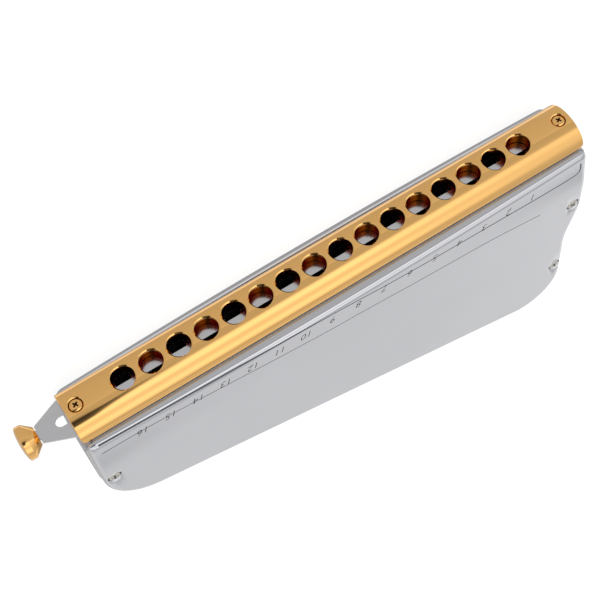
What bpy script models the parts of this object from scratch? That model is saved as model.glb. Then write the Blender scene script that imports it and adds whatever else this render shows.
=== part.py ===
"""A sixteen-hole chromatic harmonica with a wing-shaped body, as separate pieces.

The piece builders work in the instrument's own frame: x runs along the mouthpiece towards the button,
y runs back from the front line of the mouthpiece, and z is measured from the mid-plane between the covers.
finish() moves every piece so that the world origin is the table below the point (0, REST_Y) of that frame.
"""

import math

import bmesh
import bpy
from mathutils import Matrix, Vector

MM = 0.001

# Clearances
GAP = 0.3 * MM                      # between two pieces that touch on the real object
REED_GAP = 0.1 * MM                 # at each side of a reed in its slot

# Holes
HOLE_COUNT = 16
HOLE_PITCH = 9.5 * MM
HOLE_RADIUS = 3.68 * MM
HOLE_CHAMFER = 0.4 * MM

# Mouthpiece: a bar with a half-elliptic front and a channel for the slide in its back
MOUTH_HALF_LENGTH = 90.75 * MM
MOUTH_HALF_HEIGHT = 9.0 * MM
MOUTH_DEPTH = 7.0 * MM
MOUTH_FRONT_WALL = 4.4 * MM
MOUTH_FLANK_WALL = 1.8 * MM
MOUTH_END_WALL = 1.0 * MM
MOUTH_CORNER_RADIUS = 3.0 * MM

# Mouthpiece screws
MOUTH_SCREW_INSET = 3.85 * MM       # from the end of the mouthpiece
MOUTH_SCREW_RADIUS = 1.1 * MM
MOUTH_SCREW_HEAD_RADIUS = 1.8 * MM
MOUTH_SCREW_HEAD_HEIGHT = 1.2 * MM
MOUTH_SCREW_LENGTH = 13.5 * MM
MOUTH_SCREW_SINK = 0.25 * MM

# Slide and its back plate
SLIDE_THICKNESS = 0.6 * MM
SLIDE_TRAVEL = 6.2 * MM
SLIDE_SIDE_CLEARANCE = 0.4 * MM
SLIDE_SHOULDER_REACH = 0.45 * MM    # how far the full height reaches beyond the mouthpiece
SLIDE_NECK_HALF_WIDTH = 3.05 * MM
SLIDE_TAB_HALF_WIDTH = 1.6 * MM
SLOT_SIDE_CLEARANCE = 0.55 * MM
WINDOW_WIDTH = 8.2 * MM
WINDOW_HEIGHT = 3.4 * MM
WINDOW_SHIFT = -0.6 * MM
WINDOW_CORNER_RADIUS = 0.7 * MM
BAR_HALF_HEIGHT = 0.48 * MM         # half of the web between the two rows of windows
BACK_PLATE_THICKNESS = 0.8 * MM
APERTURE_WIDTH = 5.2 * MM

# Button
BUTTON_STAND_OFF = 9.75 * MM        # from the end of the mouthpiece, which clears the travel
BUTTON_CONE_LENGTH = 3.0 * MM
BUTTON_RIM_LENGTH = 1.75 * MM
BUTTON_DOME_HEIGHT = 1.1 * MM
BUTTON_RADIUS = 5.5 * MM
BUTTON_BACK_RADIUS = 3.1 * MM
BUTTON_SLOT_DEPTH = 3.6 * MM

# Return spring, a hairpin of round wire with a coil round a pin
WIRE_RADIUS = 0.3 * MM
COIL_RADIUS = 1.5 * MM
COIL_TURNS = 1.25
COIL_PITCH = 1.1 * MM
SHORT_LEG = 2.4 * MM
COIL_INSET = 11.15 * MM             # from the end of the mouthpiece
COIL_Z = -3.6 * MM
SPRING_TIP_INSET = 10.25 * MM
SPRING_TIP_Z = 4.6 * MM
ANCHOR_PIN_LENGTH = 6.0 * MM
POCKET_DEPTH = 3.1 * MM
POCKET_TIP_STEP = 1.6 * MM          # the bevelled corner beside the spring's tip
POCKET_KNEE = (3.8 * MM, 3.6 * MM)  # from the coil to the pocket's corners beside the short leg
POCKET_ELBOW = (3.0 * MM, 2.4 * MM)

# Comb
COMB_HALF_HEIGHT = 7.9 * MM
COMB_PROUD = 0.4 * MM               # beyond the covers, all round
FLANGE_DEPTH = 3.5 * MM
NOSE_END_CLEARANCE = 0.75 * MM      # from the end wall of the mouthpiece's channel
DIVIDER_WIDTH = 0.8 * MM
CELL_WIDTH = 3.4 * MM
CELL_FRONT_Y = 13.0 * MM
CELL_FLOOR_Z = 0.9 * MM

# Reed plates
REED_PLATE_THICKNESS = 1.0 * MM
REED_WIDTH = 2.2 * MM
REED_THICKNESS = 0.25 * MM
REED_PAD_LENGTH = 3.0 * MM
REED_START = 0.6 * MM               # from the front of the cell
REED_LENGTH_HIGH = 13.0 * MM
REED_LENGTH_LOW = 42.0 * MM
PLATE_SCREWS = (                    # which end, and mm in from that end and back from the front line
    (1, 9.75, 17), (1, 11.75, 40), (1, 62.75, 56), (-1, 62.75, 70), (-1, 16.75, 81), (-1, 8.75, 18),
)
PLATE_SCREW_RADIUS = 0.8 * MM
PLATE_SCREW_HEAD_RADIUS = 1.5 * MM
PLATE_SCREW_HEAD_HEIGHT = 0.9 * MM
PLATE_SCREW_LENGTH = 5.0 * MM

# Covers: the outline's corners from the front corner at the button, as which end, and in mm how far in from
# that end of the mouthpiece, how far back from the front line, and the fillet's radius
COVER_FRONT = 7.7
COVER_CORNERS = (
    (1, 0.25, COVER_FRONT, 3.0),
    (1, 0.25, 48.8, 22.0),
    (-1, 3.25, 95.6, 15.0),
    (-1, 4.05, 53.0, 26.0),
    (-1, -0.25, 37.0, 22.0),
    (-1, -0.25, COVER_FRONT, 3.0),
)
COVER_TOP = 13.0 * MM
COVER_SHEET = 0.6 * MM
COVER_SHOULDER = 2.0 * MM
COVER_ARCH = 1.35 * MM               # how much lower the front edge lies at both ends than in the middle
ARCH_FADE = 17.0 * MM               # how far back from the front the arch fades out
VENT_HEIGHT = 2.0 * MM
VENT_MARGIN = 24.0 * MM

# Cover screws, placed as the screws of the reed plates
COVER_SCREWS = ((1, 3.75, 30.0), (-1, 3.55, 33.5), (-1, 6.75, 70.5))
COVER_SCREW_RADIUS = 0.9 * MM
DIMPLE_RADIUS = 2.3 * MM
DIMPLE_FLOOR_RADIUS = 1.95 * MM
DIMPLE_DEPTH = 1.3 * MM
POST_RADIUS = 2.0 * MM

REST_Y = 45.0 * MM
ROUND_STEPS = 24
BORE_STEPS = 16
SMALL_STEPS = 10
ARC_STEPS = 5

# Places that follow from the sizes above
MOUTH_SCREW_X = MOUTH_HALF_LENGTH - MOUTH_SCREW_INSET
BUTTON_BACK_X = MOUTH_HALF_LENGTH + BUTTON_STAND_OFF
SLIDE_SHOULDER_X = MOUTH_HALF_LENGTH + SLIDE_SHOULDER_REACH
COIL_X = -MOUTH_HALF_LENGTH + COIL_INSET
SPRING_TIP_X = -MOUTH_HALF_LENGTH + SPRING_TIP_INSET
NOSE_HALF_LENGTH = MOUTH_HALF_LENGTH - MOUTH_END_WALL - NOSE_END_CLEARANCE
CHANNEL_HALF_HEIGHT = MOUTH_HALF_HEIGHT - MOUTH_FLANK_WALL
SLIDE_FRONT_Y = MOUTH_FRONT_WALL + GAP
SLIDE_BACK_Y = SLIDE_FRONT_Y + SLIDE_THICKNESS
SLIDE_MID_Y = (SLIDE_FRONT_Y + SLIDE_BACK_Y) / 2
BACK_PLATE_FRONT_Y = SLIDE_BACK_Y + GAP
NOSE_FRONT_Y = BACK_PLATE_FRONT_Y + BACK_PLATE_THICKNESS + GAP
FLANGE_FRONT_Y = MOUTH_DEPTH + GAP
FLANGE_BACK_Y = FLANGE_FRONT_Y + FLANGE_DEPTH
SLIDE_HALF_HEIGHT = CHANNEL_HALF_HEIGHT - SLIDE_SIDE_CLEARANCE
SLIDE_END_X = -MOUTH_HALF_LENGTH + MOUTH_END_WALL + GAP + SLIDE_TRAVEL
SLOT_HALF_WIDTH = MOUTH_SCREW_RADIUS + SLOT_SIDE_CLEARANCE
SCREW_HOLE_RADIUS = MOUTH_SCREW_RADIUS + GAP
PLATE_BOTTOM_Z = COMB_HALF_HEIGHT + GAP
PLATE_TOP_Z = PLATE_BOTTOM_Z + REED_PLATE_THICKNESS
COVER_RIM_Z = PLATE_TOP_Z + GAP
COVER_HOLE_RADIUS = COVER_SCREW_RADIUS + GAP
COVER_HEAD_RADIUS = DIMPLE_FLOOR_RADIUS - GAP
DIMPLE_FLOOR_Z = COVER_TOP - DIMPLE_DEPTH
FAR = 150 * MM                      # reaches past every piece

GOLD = ((0.86, 0.58, 0.22), 0.12, 1.0)
CHROME = ((0.80, 0.80, 0.82), 0.08, 1.0)
STEEL = ((0.60, 0.60, 0.62), 0.25, 1.0)
BRASS = ((0.78, 0.60, 0.32), 0.30, 1.0)
SILVER_PLASTIC = ((0.66, 0.66, 0.68), 0.35, 0.0)


def new_collection(name, hidden=False):
    collection = bpy.data.collections.new(name)
    collection.hide_render = hidden
    bpy.context.scene.collection.children.link(collection)
    return collection


def hole_x(number):
    """Hole 1 is at the far end from the button."""
    return (number - (HOLE_COUNT + 1) / 2) * HOLE_PITCH


def from_end(end, inset, back):
    """A place given as which end of the mouthpiece, how far in from it and how far back, both in mm."""
    return end * (MOUTH_HALF_LENGTH - inset * MM), back * MM


def reed_length(number):
    share = (HOLE_COUNT - number) / (HOLE_COUNT - 1)
    return REED_LENGTH_HIGH * (REED_LENGTH_LOW / REED_LENGTH_HIGH) ** share


# Shapes, each added to a bmesh in the instrument's frame


def add_box(bm, low, high):
    middle = (Vector(low) + Vector(high)) / 2
    size = Vector(high) - Vector(low)
    bmesh.ops.create_cube(bm, size=1, matrix=Matrix.Translation(middle) @ Matrix.Diagonal((*size, 1)))


def add_prism(bm, outline, axis, low, high):
    """An outline, extruded along an axis. Its points are (y, z), (x, z) or (x, y), in that axis's order."""
    place = {
        "x": lambda a, b: (low, a, b),
        "y": lambda a, b: (a, low, b),
        "z": lambda a, b: (a, b, low),
    }[axis]
    face = bm.faces.new([bm.verts.new(place(a, b)) for a, b in outline])
    made = bmesh.ops.extrude_face_region(bm, geom=[face])["geom"]
    step = {"x": (high - low, 0, 0), "y": (0, high - low, 0), "z": (0, 0, high - low)}[axis]
    bmesh.ops.translate(bm, verts=[v for v in made if isinstance(v, bmesh.types.BMVert)], vec=step)


def add_lathe(bm, profile, axis, centre, steps=ROUND_STEPS):
    """A profile of (radius, place along the axis) turned round an axis through the centre."""
    along = {"x": Vector((1, 0, 0)), "y": Vector((0, 1, 0)), "z": Vector((0, 0, 1))}[axis]
    out = {"x": Vector((0, 0, 1)), "y": Vector((1, 0, 0)), "z": Vector((1, 0, 0))}[axis]
    centre = Vector(centre)
    points = [bm.verts.new(centre + along * place + out * radius) for radius, place in profile]
    edges = [bm.edges.new(pair) for pair in zip(points, points[1:])]
    bmesh.ops.spin(
        bm, geom=points + edges, cent=centre, axis=along, angle=2 * math.pi, steps=steps, use_merge=True
    )
    bmesh.ops.remove_doubles(bm, verts=bm.verts, dist=0.001 * MM)


def add_cylinder(bm, radius, axis, centre, low, high, steps=ROUND_STEPS):
    """A cylinder along an axis through the centre, between two places on that axis."""
    number = "xyz".index(axis)
    turn = {"x": Matrix.Rotation(math.pi / 2, 4, "Y"), "y": Matrix.Rotation(math.pi / 2, 4, "X"),
            "z": Matrix.Identity(4)}[axis]
    middle = Vector(centre)
    middle[number] = (low + high) / 2
    bmesh.ops.create_cone(
        bm, cap_ends=True, segments=steps, radius1=radius, radius2=radius, depth=abs(high - low),
        matrix=Matrix.Translation(middle) @ turn,
    )


def rounded_polygon(corners, steps=ARC_STEPS, grow=0.0, least=0.3 * MM):
    """The outline through corners of (x, y, fillet radius), anticlockwise, moved outwards by grow."""
    count = len(corners)
    lines = []
    for i, (x, y, _) in enumerate(corners):
        start, end = Vector((x, y)), Vector(corners[(i + 1) % count][:2])
        direction = (end - start).normalized()
        lines.append((start + Vector((direction.y, -direction.x)) * grow, direction))
    outline = []
    for i, (_, _, radius) in enumerate(corners):
        (start_a, along_a), (start_b, along_b) = lines[i - 1], lines[i]
        turn = along_a.x * along_b.y - along_a.y * along_b.x
        reach = ((start_b - start_a).x * along_b.y - (start_b - start_a).y * along_b.x) / turn
        corner = start_a + along_a * reach
        radius = max(radius + (grow if turn > 0 else -grow), least)
        angle = math.atan2(turn, along_a.dot(along_b))
        side = Vector((-along_a.y, along_a.x)) * math.copysign(1, turn)
        centre = corner - along_a * radius * math.tan(abs(angle) / 2) + side * radius
        for step in range(steps + 1):
            spoke = Matrix.Rotation(angle * step / steps, 2) @ (-side * radius)
            outline.append(tuple(centre + spoke))
    return outline


def clip_front(outline, least_y):
    """The outline with all that lies in front of least_y cut off."""
    kept = []
    for (ax, ay), (bx, by) in zip(outline, outline[1:] + outline[:1]):
        if ay >= least_y:
            kept.append((ax, ay))
        if (ay >= least_y) != (by >= least_y):
            share = (least_y - ay) / (by - ay)
            kept.append((ax + (bx - ax) * share, least_y))
    return kept


def rectangle(x0, x1, y0, y1, radius, steps=1):
    """An outline with rounded corners, anticlockwise."""
    corners = ((x0, y0, radius), (x1, y0, radius), (x1, y1, radius), (x0, y1, radius))
    return rounded_polygon(corners, steps)


def cover_outline(grow=0.0):
    corners = [(*from_end(*place), radius * MM) for *place, radius in COVER_CORNERS]
    return rounded_polygon(corners, grow=grow)


# Objects


def finish(name, bm, collection, origin=(0, 0, 0)):
    """Makes an object of the bmesh, with its origin at a point of the instrument's frame."""
    if all(edge.is_manifold for edge in bm.edges):
        bmesh.ops.recalc_face_normals(bm, faces=bm.faces)
    bmesh.ops.translate(bm, verts=bm.verts, vec=-Vector(origin))
    mesh = bpy.data.meshes.new(name)
    bm.to_mesh(mesh)
    bm.free()
    made = bpy.data.objects.new(name, mesh)
    made.location = Vector(origin) + Vector((0, -REST_Y, COVER_TOP))
    collection.objects.link(made)
    return made


def piece(name, bm, look, origin=(0, 0, 0)):
    made = finish(name, bm, PARTS, origin)
    (red, green, blue), roughness, metallic = look
    material = bpy.data.materials.new(name)
    material.use_nodes = True
    shader = material.node_tree.nodes["Principled BSDF"]
    shader.inputs["Base Color"].default_value = (red, green, blue, 1)
    shader.inputs["Roughness"].default_value = roughness
    shader.inputs["Metallic"].default_value = metallic
    made.data.materials.append(material)
    return made


def cutter(name, bm):
    made = finish(name, bm, CUTTERS)
    made.hide_render = True
    made.display_type = "WIRE"
    return made


def boolean(target, operation, name, bm):
    modifier = target.modifiers.new(name, "BOOLEAN")
    modifier.operation = operation
    modifier.solver = "EXACT"
    modifier.object = cutter(f"{target.name}_{name}", bm)


def shape(*calls):
    """A bmesh made by a list of (function, arguments)."""
    bm = bmesh.new()
    for function, *arguments in calls:
        function(bm, *arguments)
    return bm


def cross_outline(centre_a, centre_b, reach, half_width):
    """The outline of a cross recess."""
    r, w = reach, half_width
    points = ((r, w), (w, w), (w, r), (-w, r), (-w, w), (-r, w))
    points += tuple((-a, -b) for a, b in points)
    return [(centre_a + a, centre_b + b) for a, b in points]


# The mouthpiece and its screws


def mouthpiece():
    quarter = [i * math.pi / 2 / 9 for i in range(10)]
    front = [(MOUTH_DEPTH * (1 - math.cos(a)), MOUTH_HALF_HEIGHT * math.sin(a)) for a in quarter]
    profile = [(y, -z) for y, z in reversed(front[1:])] + front
    bar = piece("mouthpiece", shape((add_prism, profile, "x", -MOUTH_HALF_LENGTH, MOUTH_HALF_LENGTH)), GOLD)

    plan = rounded_polygon((
        (-MOUTH_HALF_LENGTH, -MOUTH_DEPTH, GAP),
        (MOUTH_HALF_LENGTH, -MOUTH_DEPTH, GAP),
        (MOUTH_HALF_LENGTH, MOUTH_DEPTH + MOUTH_CORNER_RADIUS * 0.2, MOUTH_CORNER_RADIUS),
        (-MOUTH_HALF_LENGTH, MOUTH_DEPTH + MOUTH_CORNER_RADIUS * 0.2, MOUTH_CORNER_RADIUS),
    ))
    height = MOUTH_HALF_HEIGHT + GAP
    boolean(bar, "INTERSECT", "plan", shape((add_prism, plan, "z", -height, height)))

    channel_low = (-MOUTH_HALF_LENGTH + MOUTH_END_WALL, MOUTH_FRONT_WALL, -CHANNEL_HALF_HEIGHT)
    channel_high = (MOUTH_HALF_LENGTH + MOUTH_DEPTH, MOUTH_DEPTH * 2, CHANNEL_HALF_HEIGHT)
    boolean(bar, "DIFFERENCE", "channel", shape((add_box, channel_low, channel_high)))

    edge_y = MOUTH_DEPTH * (1 - math.sqrt(1 - (HOLE_RADIUS / MOUTH_HALF_HEIGHT) ** 2))
    throat = HOLE_RADIUS + HOLE_CHAMFER
    bore = (
        (0, -MOUTH_DEPTH / 2),
        (throat, -MOUTH_DEPTH / 2),
        (throat, edge_y - HOLE_CHAMFER * 0.2),
        (HOLE_RADIUS, edge_y + HOLE_CHAMFER * 0.8),
        (HOLE_RADIUS, MOUTH_FRONT_WALL + GAP),
        (0, MOUTH_FRONT_WALL + GAP),
    )
    holes = [(add_lathe, bore, "y", (hole_x(n), 0, 0), BORE_STEPS) for n in range(1, HOLE_COUNT + 1)]
    boolean(bar, "DIFFERENCE", "holes", shape(*holes))

    seat = MOUTH_SCREW_SINK + MOUTH_SCREW_HEAD_HEIGHT
    sink = (
        (0, -MOUTH_DEPTH / 2),
        (MOUTH_SCREW_HEAD_RADIUS + GAP, -MOUTH_DEPTH / 2),
        (MOUTH_SCREW_HEAD_RADIUS + GAP, seat - MOUTH_SCREW_HEAD_HEIGHT / 2),
        (SCREW_HOLE_RADIUS, seat + GAP),
        (SCREW_HOLE_RADIUS, MOUTH_FRONT_WALL + GAP),
        (0, MOUTH_FRONT_WALL + GAP),
    )
    sinks = [(add_lathe, sink, "y", (x, 0, 0), BORE_STEPS) for x in (-MOUTH_SCREW_X, MOUTH_SCREW_X)]
    boolean(bar, "DIFFERENCE", "screw_holes", shape(*sinks))


def mouthpiece_screws():
    top = MOUTH_SCREW_SINK
    head = MOUTH_SCREW_HEAD_RADIUS
    profile = (
        (0, top - 0.15 * head),
        (0.55 * head, top - 0.1 * head),
        (head, top + 0.1 * head),
        (head, top + MOUTH_SCREW_HEAD_HEIGHT / 2),
        (MOUTH_SCREW_RADIUS, top + MOUTH_SCREW_HEAD_HEIGHT),
        (MOUTH_SCREW_RADIUS, top + MOUTH_SCREW_LENGTH),
        (0, top + MOUTH_SCREW_LENGTH),
    )
    for side, x in (("left", -MOUTH_SCREW_X), ("right", MOUTH_SCREW_X)):
        turned = (add_lathe, profile, "y", (x, 0, 0), BORE_STEPS)
        screw = piece(f"mouthpiece_screw_{side}", shape(turned), GOLD)
        cross = cross_outline(x, 0, 0.6 * head, 0.17 * head)
        depth = top + MOUTH_SCREW_HEAD_HEIGHT * 0.6
        boolean(screw, "DIFFERENCE", "cross", shape((add_prism, cross, "y", top - head, depth)))


# The slide, its back plate, button and spring


def window_rows():
    """The slide's windows at rest: above the bar for odd holes and below it for even ones."""
    low = BAR_HALF_HEIGHT
    for n in range(1, HOLE_COUNT + 1):
        side = 1 if n % 2 else -1
        x = hole_x(n) + WINDOW_SHIFT
        ends = sorted((side * low, side * (low + WINDOW_HEIGHT)))
        yield x - WINDOW_WIDTH / 2, x + WINDOW_WIDTH / 2, *ends


def slide():
    top, neck, tab = SLIDE_HALF_HEIGHT, SLIDE_NECK_HALF_WIDTH, SLIDE_TAB_HALF_WIDTH
    neck_x, tab_x = BUTTON_BACK_X - GAP, BUTTON_BACK_X + BUTTON_SLOT_DEPTH - GAP
    outline = [
        (SLIDE_END_X, -top), (SLIDE_SHOULDER_X, -top), (neck_x, -neck), (neck_x, -tab), (tab_x, -tab),
        (tab_x, tab), (neck_x, tab), (neck_x, neck), (SLIDE_SHOULDER_X, top), (SLIDE_END_X, top),
    ]
    origin = (BUTTON_BACK_X, SLIDE_MID_Y, 0)
    bm = shape((add_prism, outline, "y", SLIDE_FRONT_Y, SLIDE_BACK_Y))
    plate = piece("slide", bm, STEEL, origin)

    front, back = SLIDE_FRONT_Y - GAP, SLIDE_BACK_Y + GAP
    windows = [
        (add_prism, rectangle(*ends, WINDOW_CORNER_RADIUS), "y", front, back) for ends in window_rows()
    ]
    boolean(plate, "DIFFERENCE", "windows", shape(*windows))

    reach = MOUTH_SCREW_RADIUS + GAP
    width, radius = SLOT_HALF_WIDTH, SLOT_HALF_WIDTH * 0.96
    near = rectangle(MOUTH_SCREW_X - reach, MOUTH_SCREW_X + reach + SLIDE_TRAVEL, -width, width, radius, 3)
    fork_end = -MOUTH_SCREW_X + reach + SLIDE_TRAVEL
    fork = rectangle(SLIDE_END_X - 2 * reach, fork_end, -width, width, radius, 3)
    tip = (SPRING_TIP_X, 0, SPRING_TIP_Z)
    boolean(plate, "DIFFERENCE", "slots", shape(
        (add_prism, near, "y", front, back),
        (add_prism, fork, "y", front, back),
        (add_cylinder, WIRE_RADIUS + GAP, "y", tip, front, back, SMALL_STEPS),
    ))


def slide_back_plate():
    length = -SLIDE_END_X + SLIDE_TRAVEL
    high = SLIDE_HALF_HEIGHT
    outline = rectangle(-length, length, -high, high, WINDOW_CORNER_RADIUS)
    front, back = BACK_PLATE_FRONT_Y, BACK_PLATE_FRONT_Y + BACK_PLATE_THICKNESS
    plate = piece("slide_back_plate", shape((add_prism, outline, "y", front, back)), STEEL)

    holes = []
    for n in range(1, HOLE_COUNT + 1):
        left, right = hole_x(n) - APERTURE_WIDTH / 2, hole_x(n) + APERTURE_WIDTH / 2
        for low, high in ((BAR_HALF_HEIGHT, BAR_HALF_HEIGHT + WINDOW_HEIGHT),
                          (-BAR_HALF_HEIGHT - WINDOW_HEIGHT, -BAR_HALF_HEIGHT)):
            holes.append((add_box, (left, front - GAP, low), (right, back + GAP, high)))
    boolean(plate, "DIFFERENCE", "apertures", shape(*holes))

    wire = WIRE_RADIUS + GAP
    sweep = rectangle(SPRING_TIP_X - SLIDE_TRAVEL - wire, SPRING_TIP_X + wire,
                      SPRING_TIP_Z - wire, SPRING_TIP_Z + wire, wire * 0.9)
    boolean(plate, "DIFFERENCE", "holes", shape(
        (add_cylinder, SCREW_HOLE_RADIUS, "y", (-MOUTH_SCREW_X, 0, 0), front - GAP, back + GAP, BORE_STEPS),
        (add_cylinder, SCREW_HOLE_RADIUS, "y", (MOUTH_SCREW_X, 0, 0), front - GAP, back + GAP, BORE_STEPS),
        (add_prism, sweep, "y", front - GAP, back + GAP),
    ))


def slide_button():
    rim = BUTTON_BACK_X + BUTTON_CONE_LENGTH
    face = rim + BUTTON_RIM_LENGTH
    back = BUTTON_BACK_X
    profile = [(0, back), (BUTTON_BACK_RADIUS, back), (BUTTON_RADIUS, rim), (BUTTON_RADIUS, face)]
    profile += [
        (BUTTON_RADIUS * math.cos(a), face + BUTTON_DOME_HEIGHT * math.sin(a))
        for a in (math.radians(25), math.radians(50), math.radians(72))
    ]
    profile.append((0, face + BUTTON_DOME_HEIGHT))
    origin = (BUTTON_BACK_X, SLIDE_MID_Y, 0)
    button = piece("slide_button", shape((add_lathe, profile, "x", (0, SLIDE_MID_Y, 0))), GOLD, origin)
    half = SLIDE_THICKNESS / 2 + GAP
    low = (BUTTON_BACK_X - GAP, SLIDE_MID_Y - half, -SLIDE_TAB_HALF_WIDTH - GAP)
    high = (BUTTON_BACK_X + BUTTON_SLOT_DEPTH, SLIDE_MID_Y + half, SLIDE_TAB_HALF_WIDTH + GAP)
    boolean(button, "DIFFERENCE", "slot", shape((add_box, low, high)))


def spring_path():
    """The wire's centre line, from the short leg round the pin to the tip in the slide."""
    leg_y = NOSE_FRONT_Y + POCKET_DEPTH - GAP * 2 - WIRE_RADIUS
    points = [(COIL_X - SHORT_LEG, leg_y, COIL_Z - COIL_RADIUS)]
    steps = round(10 * COIL_TURNS)
    for i in range(steps + 1):
        angle = -math.pi / 2 + 2 * math.pi * COIL_TURNS * i / steps
        y = leg_y - COIL_PITCH * COIL_TURNS * i / steps
        points.append((COIL_X + COIL_RADIUS * math.cos(angle), y, COIL_Z + COIL_RADIUS * math.sin(angle)))
    last_y = points[-1][1]
    bend = 2 * WIRE_RADIUS
    points.append((SPRING_TIP_X, last_y, SPRING_TIP_Z - bend / 2))
    points.append((SPRING_TIP_X, last_y - bend, SPRING_TIP_Z))
    points.append((SPRING_TIP_X, SLIDE_MID_Y, SPRING_TIP_Z))
    return points


def return_spring():
    points = spring_path()
    curve = bpy.data.curves.new("slide_spring", "CURVE")
    curve.dimensions = "3D"
    curve.bevel_depth = WIRE_RADIUS
    curve.bevel_resolution = 1
    curve.use_fill_caps = True
    spline = curve.splines.new("POLY")
    spline.points.add(len(points) - 1)
    for point, place in zip(spline.points, points):
        point.co = (*place, 1)
    guide = bpy.data.objects.new("slide_spring_guide", curve)
    CUTTERS.objects.link(guide)
    guide.hide_render = True
    mesh = bpy.data.meshes.new_from_object(guide.evaluated_get(bpy.context.evaluated_depsgraph_get()))
    bm = bmesh.new()
    bm.from_mesh(mesh)
    bmesh.ops.remove_doubles(bm, verts=bm.verts, dist=0.001 * MM)
    bpy.data.objects.remove(guide)
    piece("slide_spring", bm, STEEL)


def spring_pin():
    back = NOSE_FRONT_Y + ANCHOR_PIN_LENGTH
    radius = COIL_RADIUS - WIRE_RADIUS - GAP
    front = NOSE_FRONT_Y + GAP
    pin = (add_cylinder, radius, "y", (COIL_X, 0, COIL_Z), front, back, SMALL_STEPS)
    piece("spring_pin", shape(pin), STEEL)


# The comb


def cell_ends(number):
    """The left and right sides of the hole's two cells."""
    x = hole_x(number)
    for side in (-1, 1):
        near, far = x + side * DIVIDER_WIDTH / 2, x + side * (DIVIDER_WIDTH / 2 + CELL_WIDTH)
        yield min(near, far), max(near, far)


def cell_back(number):
    return CELL_FRONT_Y + REED_START + reed_length(number) + REED_START


def spring_pocket():
    """The pocket that the spring's long leg sweeps, as seen from the front."""
    side = WIRE_RADIUS + 2 * GAP
    right = COIL_X + COIL_RADIUS + side
    low = COIL_Z - COIL_RADIUS - side - GAP
    high = SPRING_TIP_Z + side + WIRE_RADIUS + GAP
    swept = SPRING_TIP_X - SLIDE_TRAVEL - side
    return [
        (right, low), (right, high), (swept, high), (swept, SPRING_TIP_Z - side * 0.7),
        (swept + POCKET_TIP_STEP, SPRING_TIP_Z - POCKET_TIP_STEP),
        (COIL_X - POCKET_KNEE[0], COIL_Z + POCKET_KNEE[1]),
        (COIL_X - POCKET_ELBOW[0], COIL_Z + POCKET_ELBOW[1]),
        (COIL_X - SHORT_LEG - GAP, low),
    ]


def comb():
    top = PLATE_TOP_Z
    body = piece("comb", shape((add_prism, cover_outline(COMB_PROUD), "z", -top, top)), SILVER_PLASTIC)
    pockets = [
        (add_box, (-FAR, FLANGE_BACK_Y, COMB_HALF_HEIGHT), (FAR, FAR, FAR)),
        (add_box, (-FAR, FLANGE_BACK_Y, -FAR), (FAR, FAR, -COMB_HALF_HEIGHT)),
    ]
    boolean(body, "DIFFERENCE", "reed_plate_seats", shape(*pockets))

    nose = ((-NOSE_HALF_LENGTH, NOSE_FRONT_Y, -SLIDE_HALF_HEIGHT),
            (NOSE_HALF_LENGTH, FLANGE_FRONT_Y + FLANGE_DEPTH / 2, SLIDE_HALF_HEIGHT))
    boolean(body, "UNION", "nose", shape((add_box, *nose)))

    post_top = DIMPLE_FLOOR_Z - COVER_SHEET - GAP
    at = [(*from_end(*place), 0) for place in COVER_SCREWS]
    posts = [(add_cylinder, POST_RADIUS, "z", place, -post_top, post_top, BORE_STEPS) for place in at]
    boolean(body, "UNION", "posts", shape(*posts))

    mouths, cells = [], []
    for n in range(1, HOLE_COUNT + 1):
        x = hole_x(n)
        for side in (-1, 1):
            low, high = sorted((side * BAR_HALF_HEIGHT, side * (BAR_HALF_HEIGHT + WINDOW_HEIGHT)))
            mouths.append((add_box, (x - APERTURE_WIDTH / 2, NOSE_FRONT_Y - GAP, low),
                           (x + APERTURE_WIDTH / 2, CELL_FRONT_Y + CELL_FRONT_Y / 8, high)))
            low, high = sorted((side * CELL_FLOOR_Z, side * (COMB_HALF_HEIGHT + GAP)))
            for left, right in cell_ends(n):
                cells.append((add_box, (left, CELL_FRONT_Y, low), (right, cell_back(n), high)))
    boolean(body, "DIFFERENCE", "mouths", shape(*mouths))
    boolean(body, "DIFFERENCE", "cells", shape(*cells))

    pocket = spring_pocket()
    front = NOSE_FRONT_Y - GAP
    boolean(body, "DIFFERENCE", "spring_pocket", shape(
        (add_prism, pocket, "y", front, NOSE_FRONT_Y + POCKET_DEPTH)))

    screw_end = MOUTH_SCREW_SINK + MOUTH_SCREW_LENGTH + GAP
    pin_radius, pin_end = COIL_RADIUS - WIRE_RADIUS, NOSE_FRONT_Y + ANCHOR_PIN_LENGTH + GAP
    through, small = COVER_SCREW_RADIUS + GAP, PLATE_SCREW_RADIUS + GAP
    depth = COVER_RIM_Z - PLATE_SCREW_LENGTH - GAP
    holes = [(add_cylinder, SCREW_HOLE_RADIUS, "y", (x, 0, 0), front, screw_end, SMALL_STEPS)
             for x in (-MOUTH_SCREW_X, MOUTH_SCREW_X)]
    holes.append((add_cylinder, pin_radius, "y", (COIL_X, 0, COIL_Z), front, pin_end, SMALL_STEPS))
    holes += [(add_cylinder, through, "z", place, -COVER_TOP, COVER_TOP, SMALL_STEPS) for place in at]
    for place in PLATE_SCREWS:
        for side in (-1, 1):
            low, high = sorted((side * depth, side * COVER_TOP))
            holes.append((add_cylinder, small, "z", (*from_end(*place), 0), low, high, SMALL_STEPS))
    boolean(body, "DIFFERENCE", "screw_holes", shape(*holes))


# The reed plates, with their slots and reeds


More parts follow.
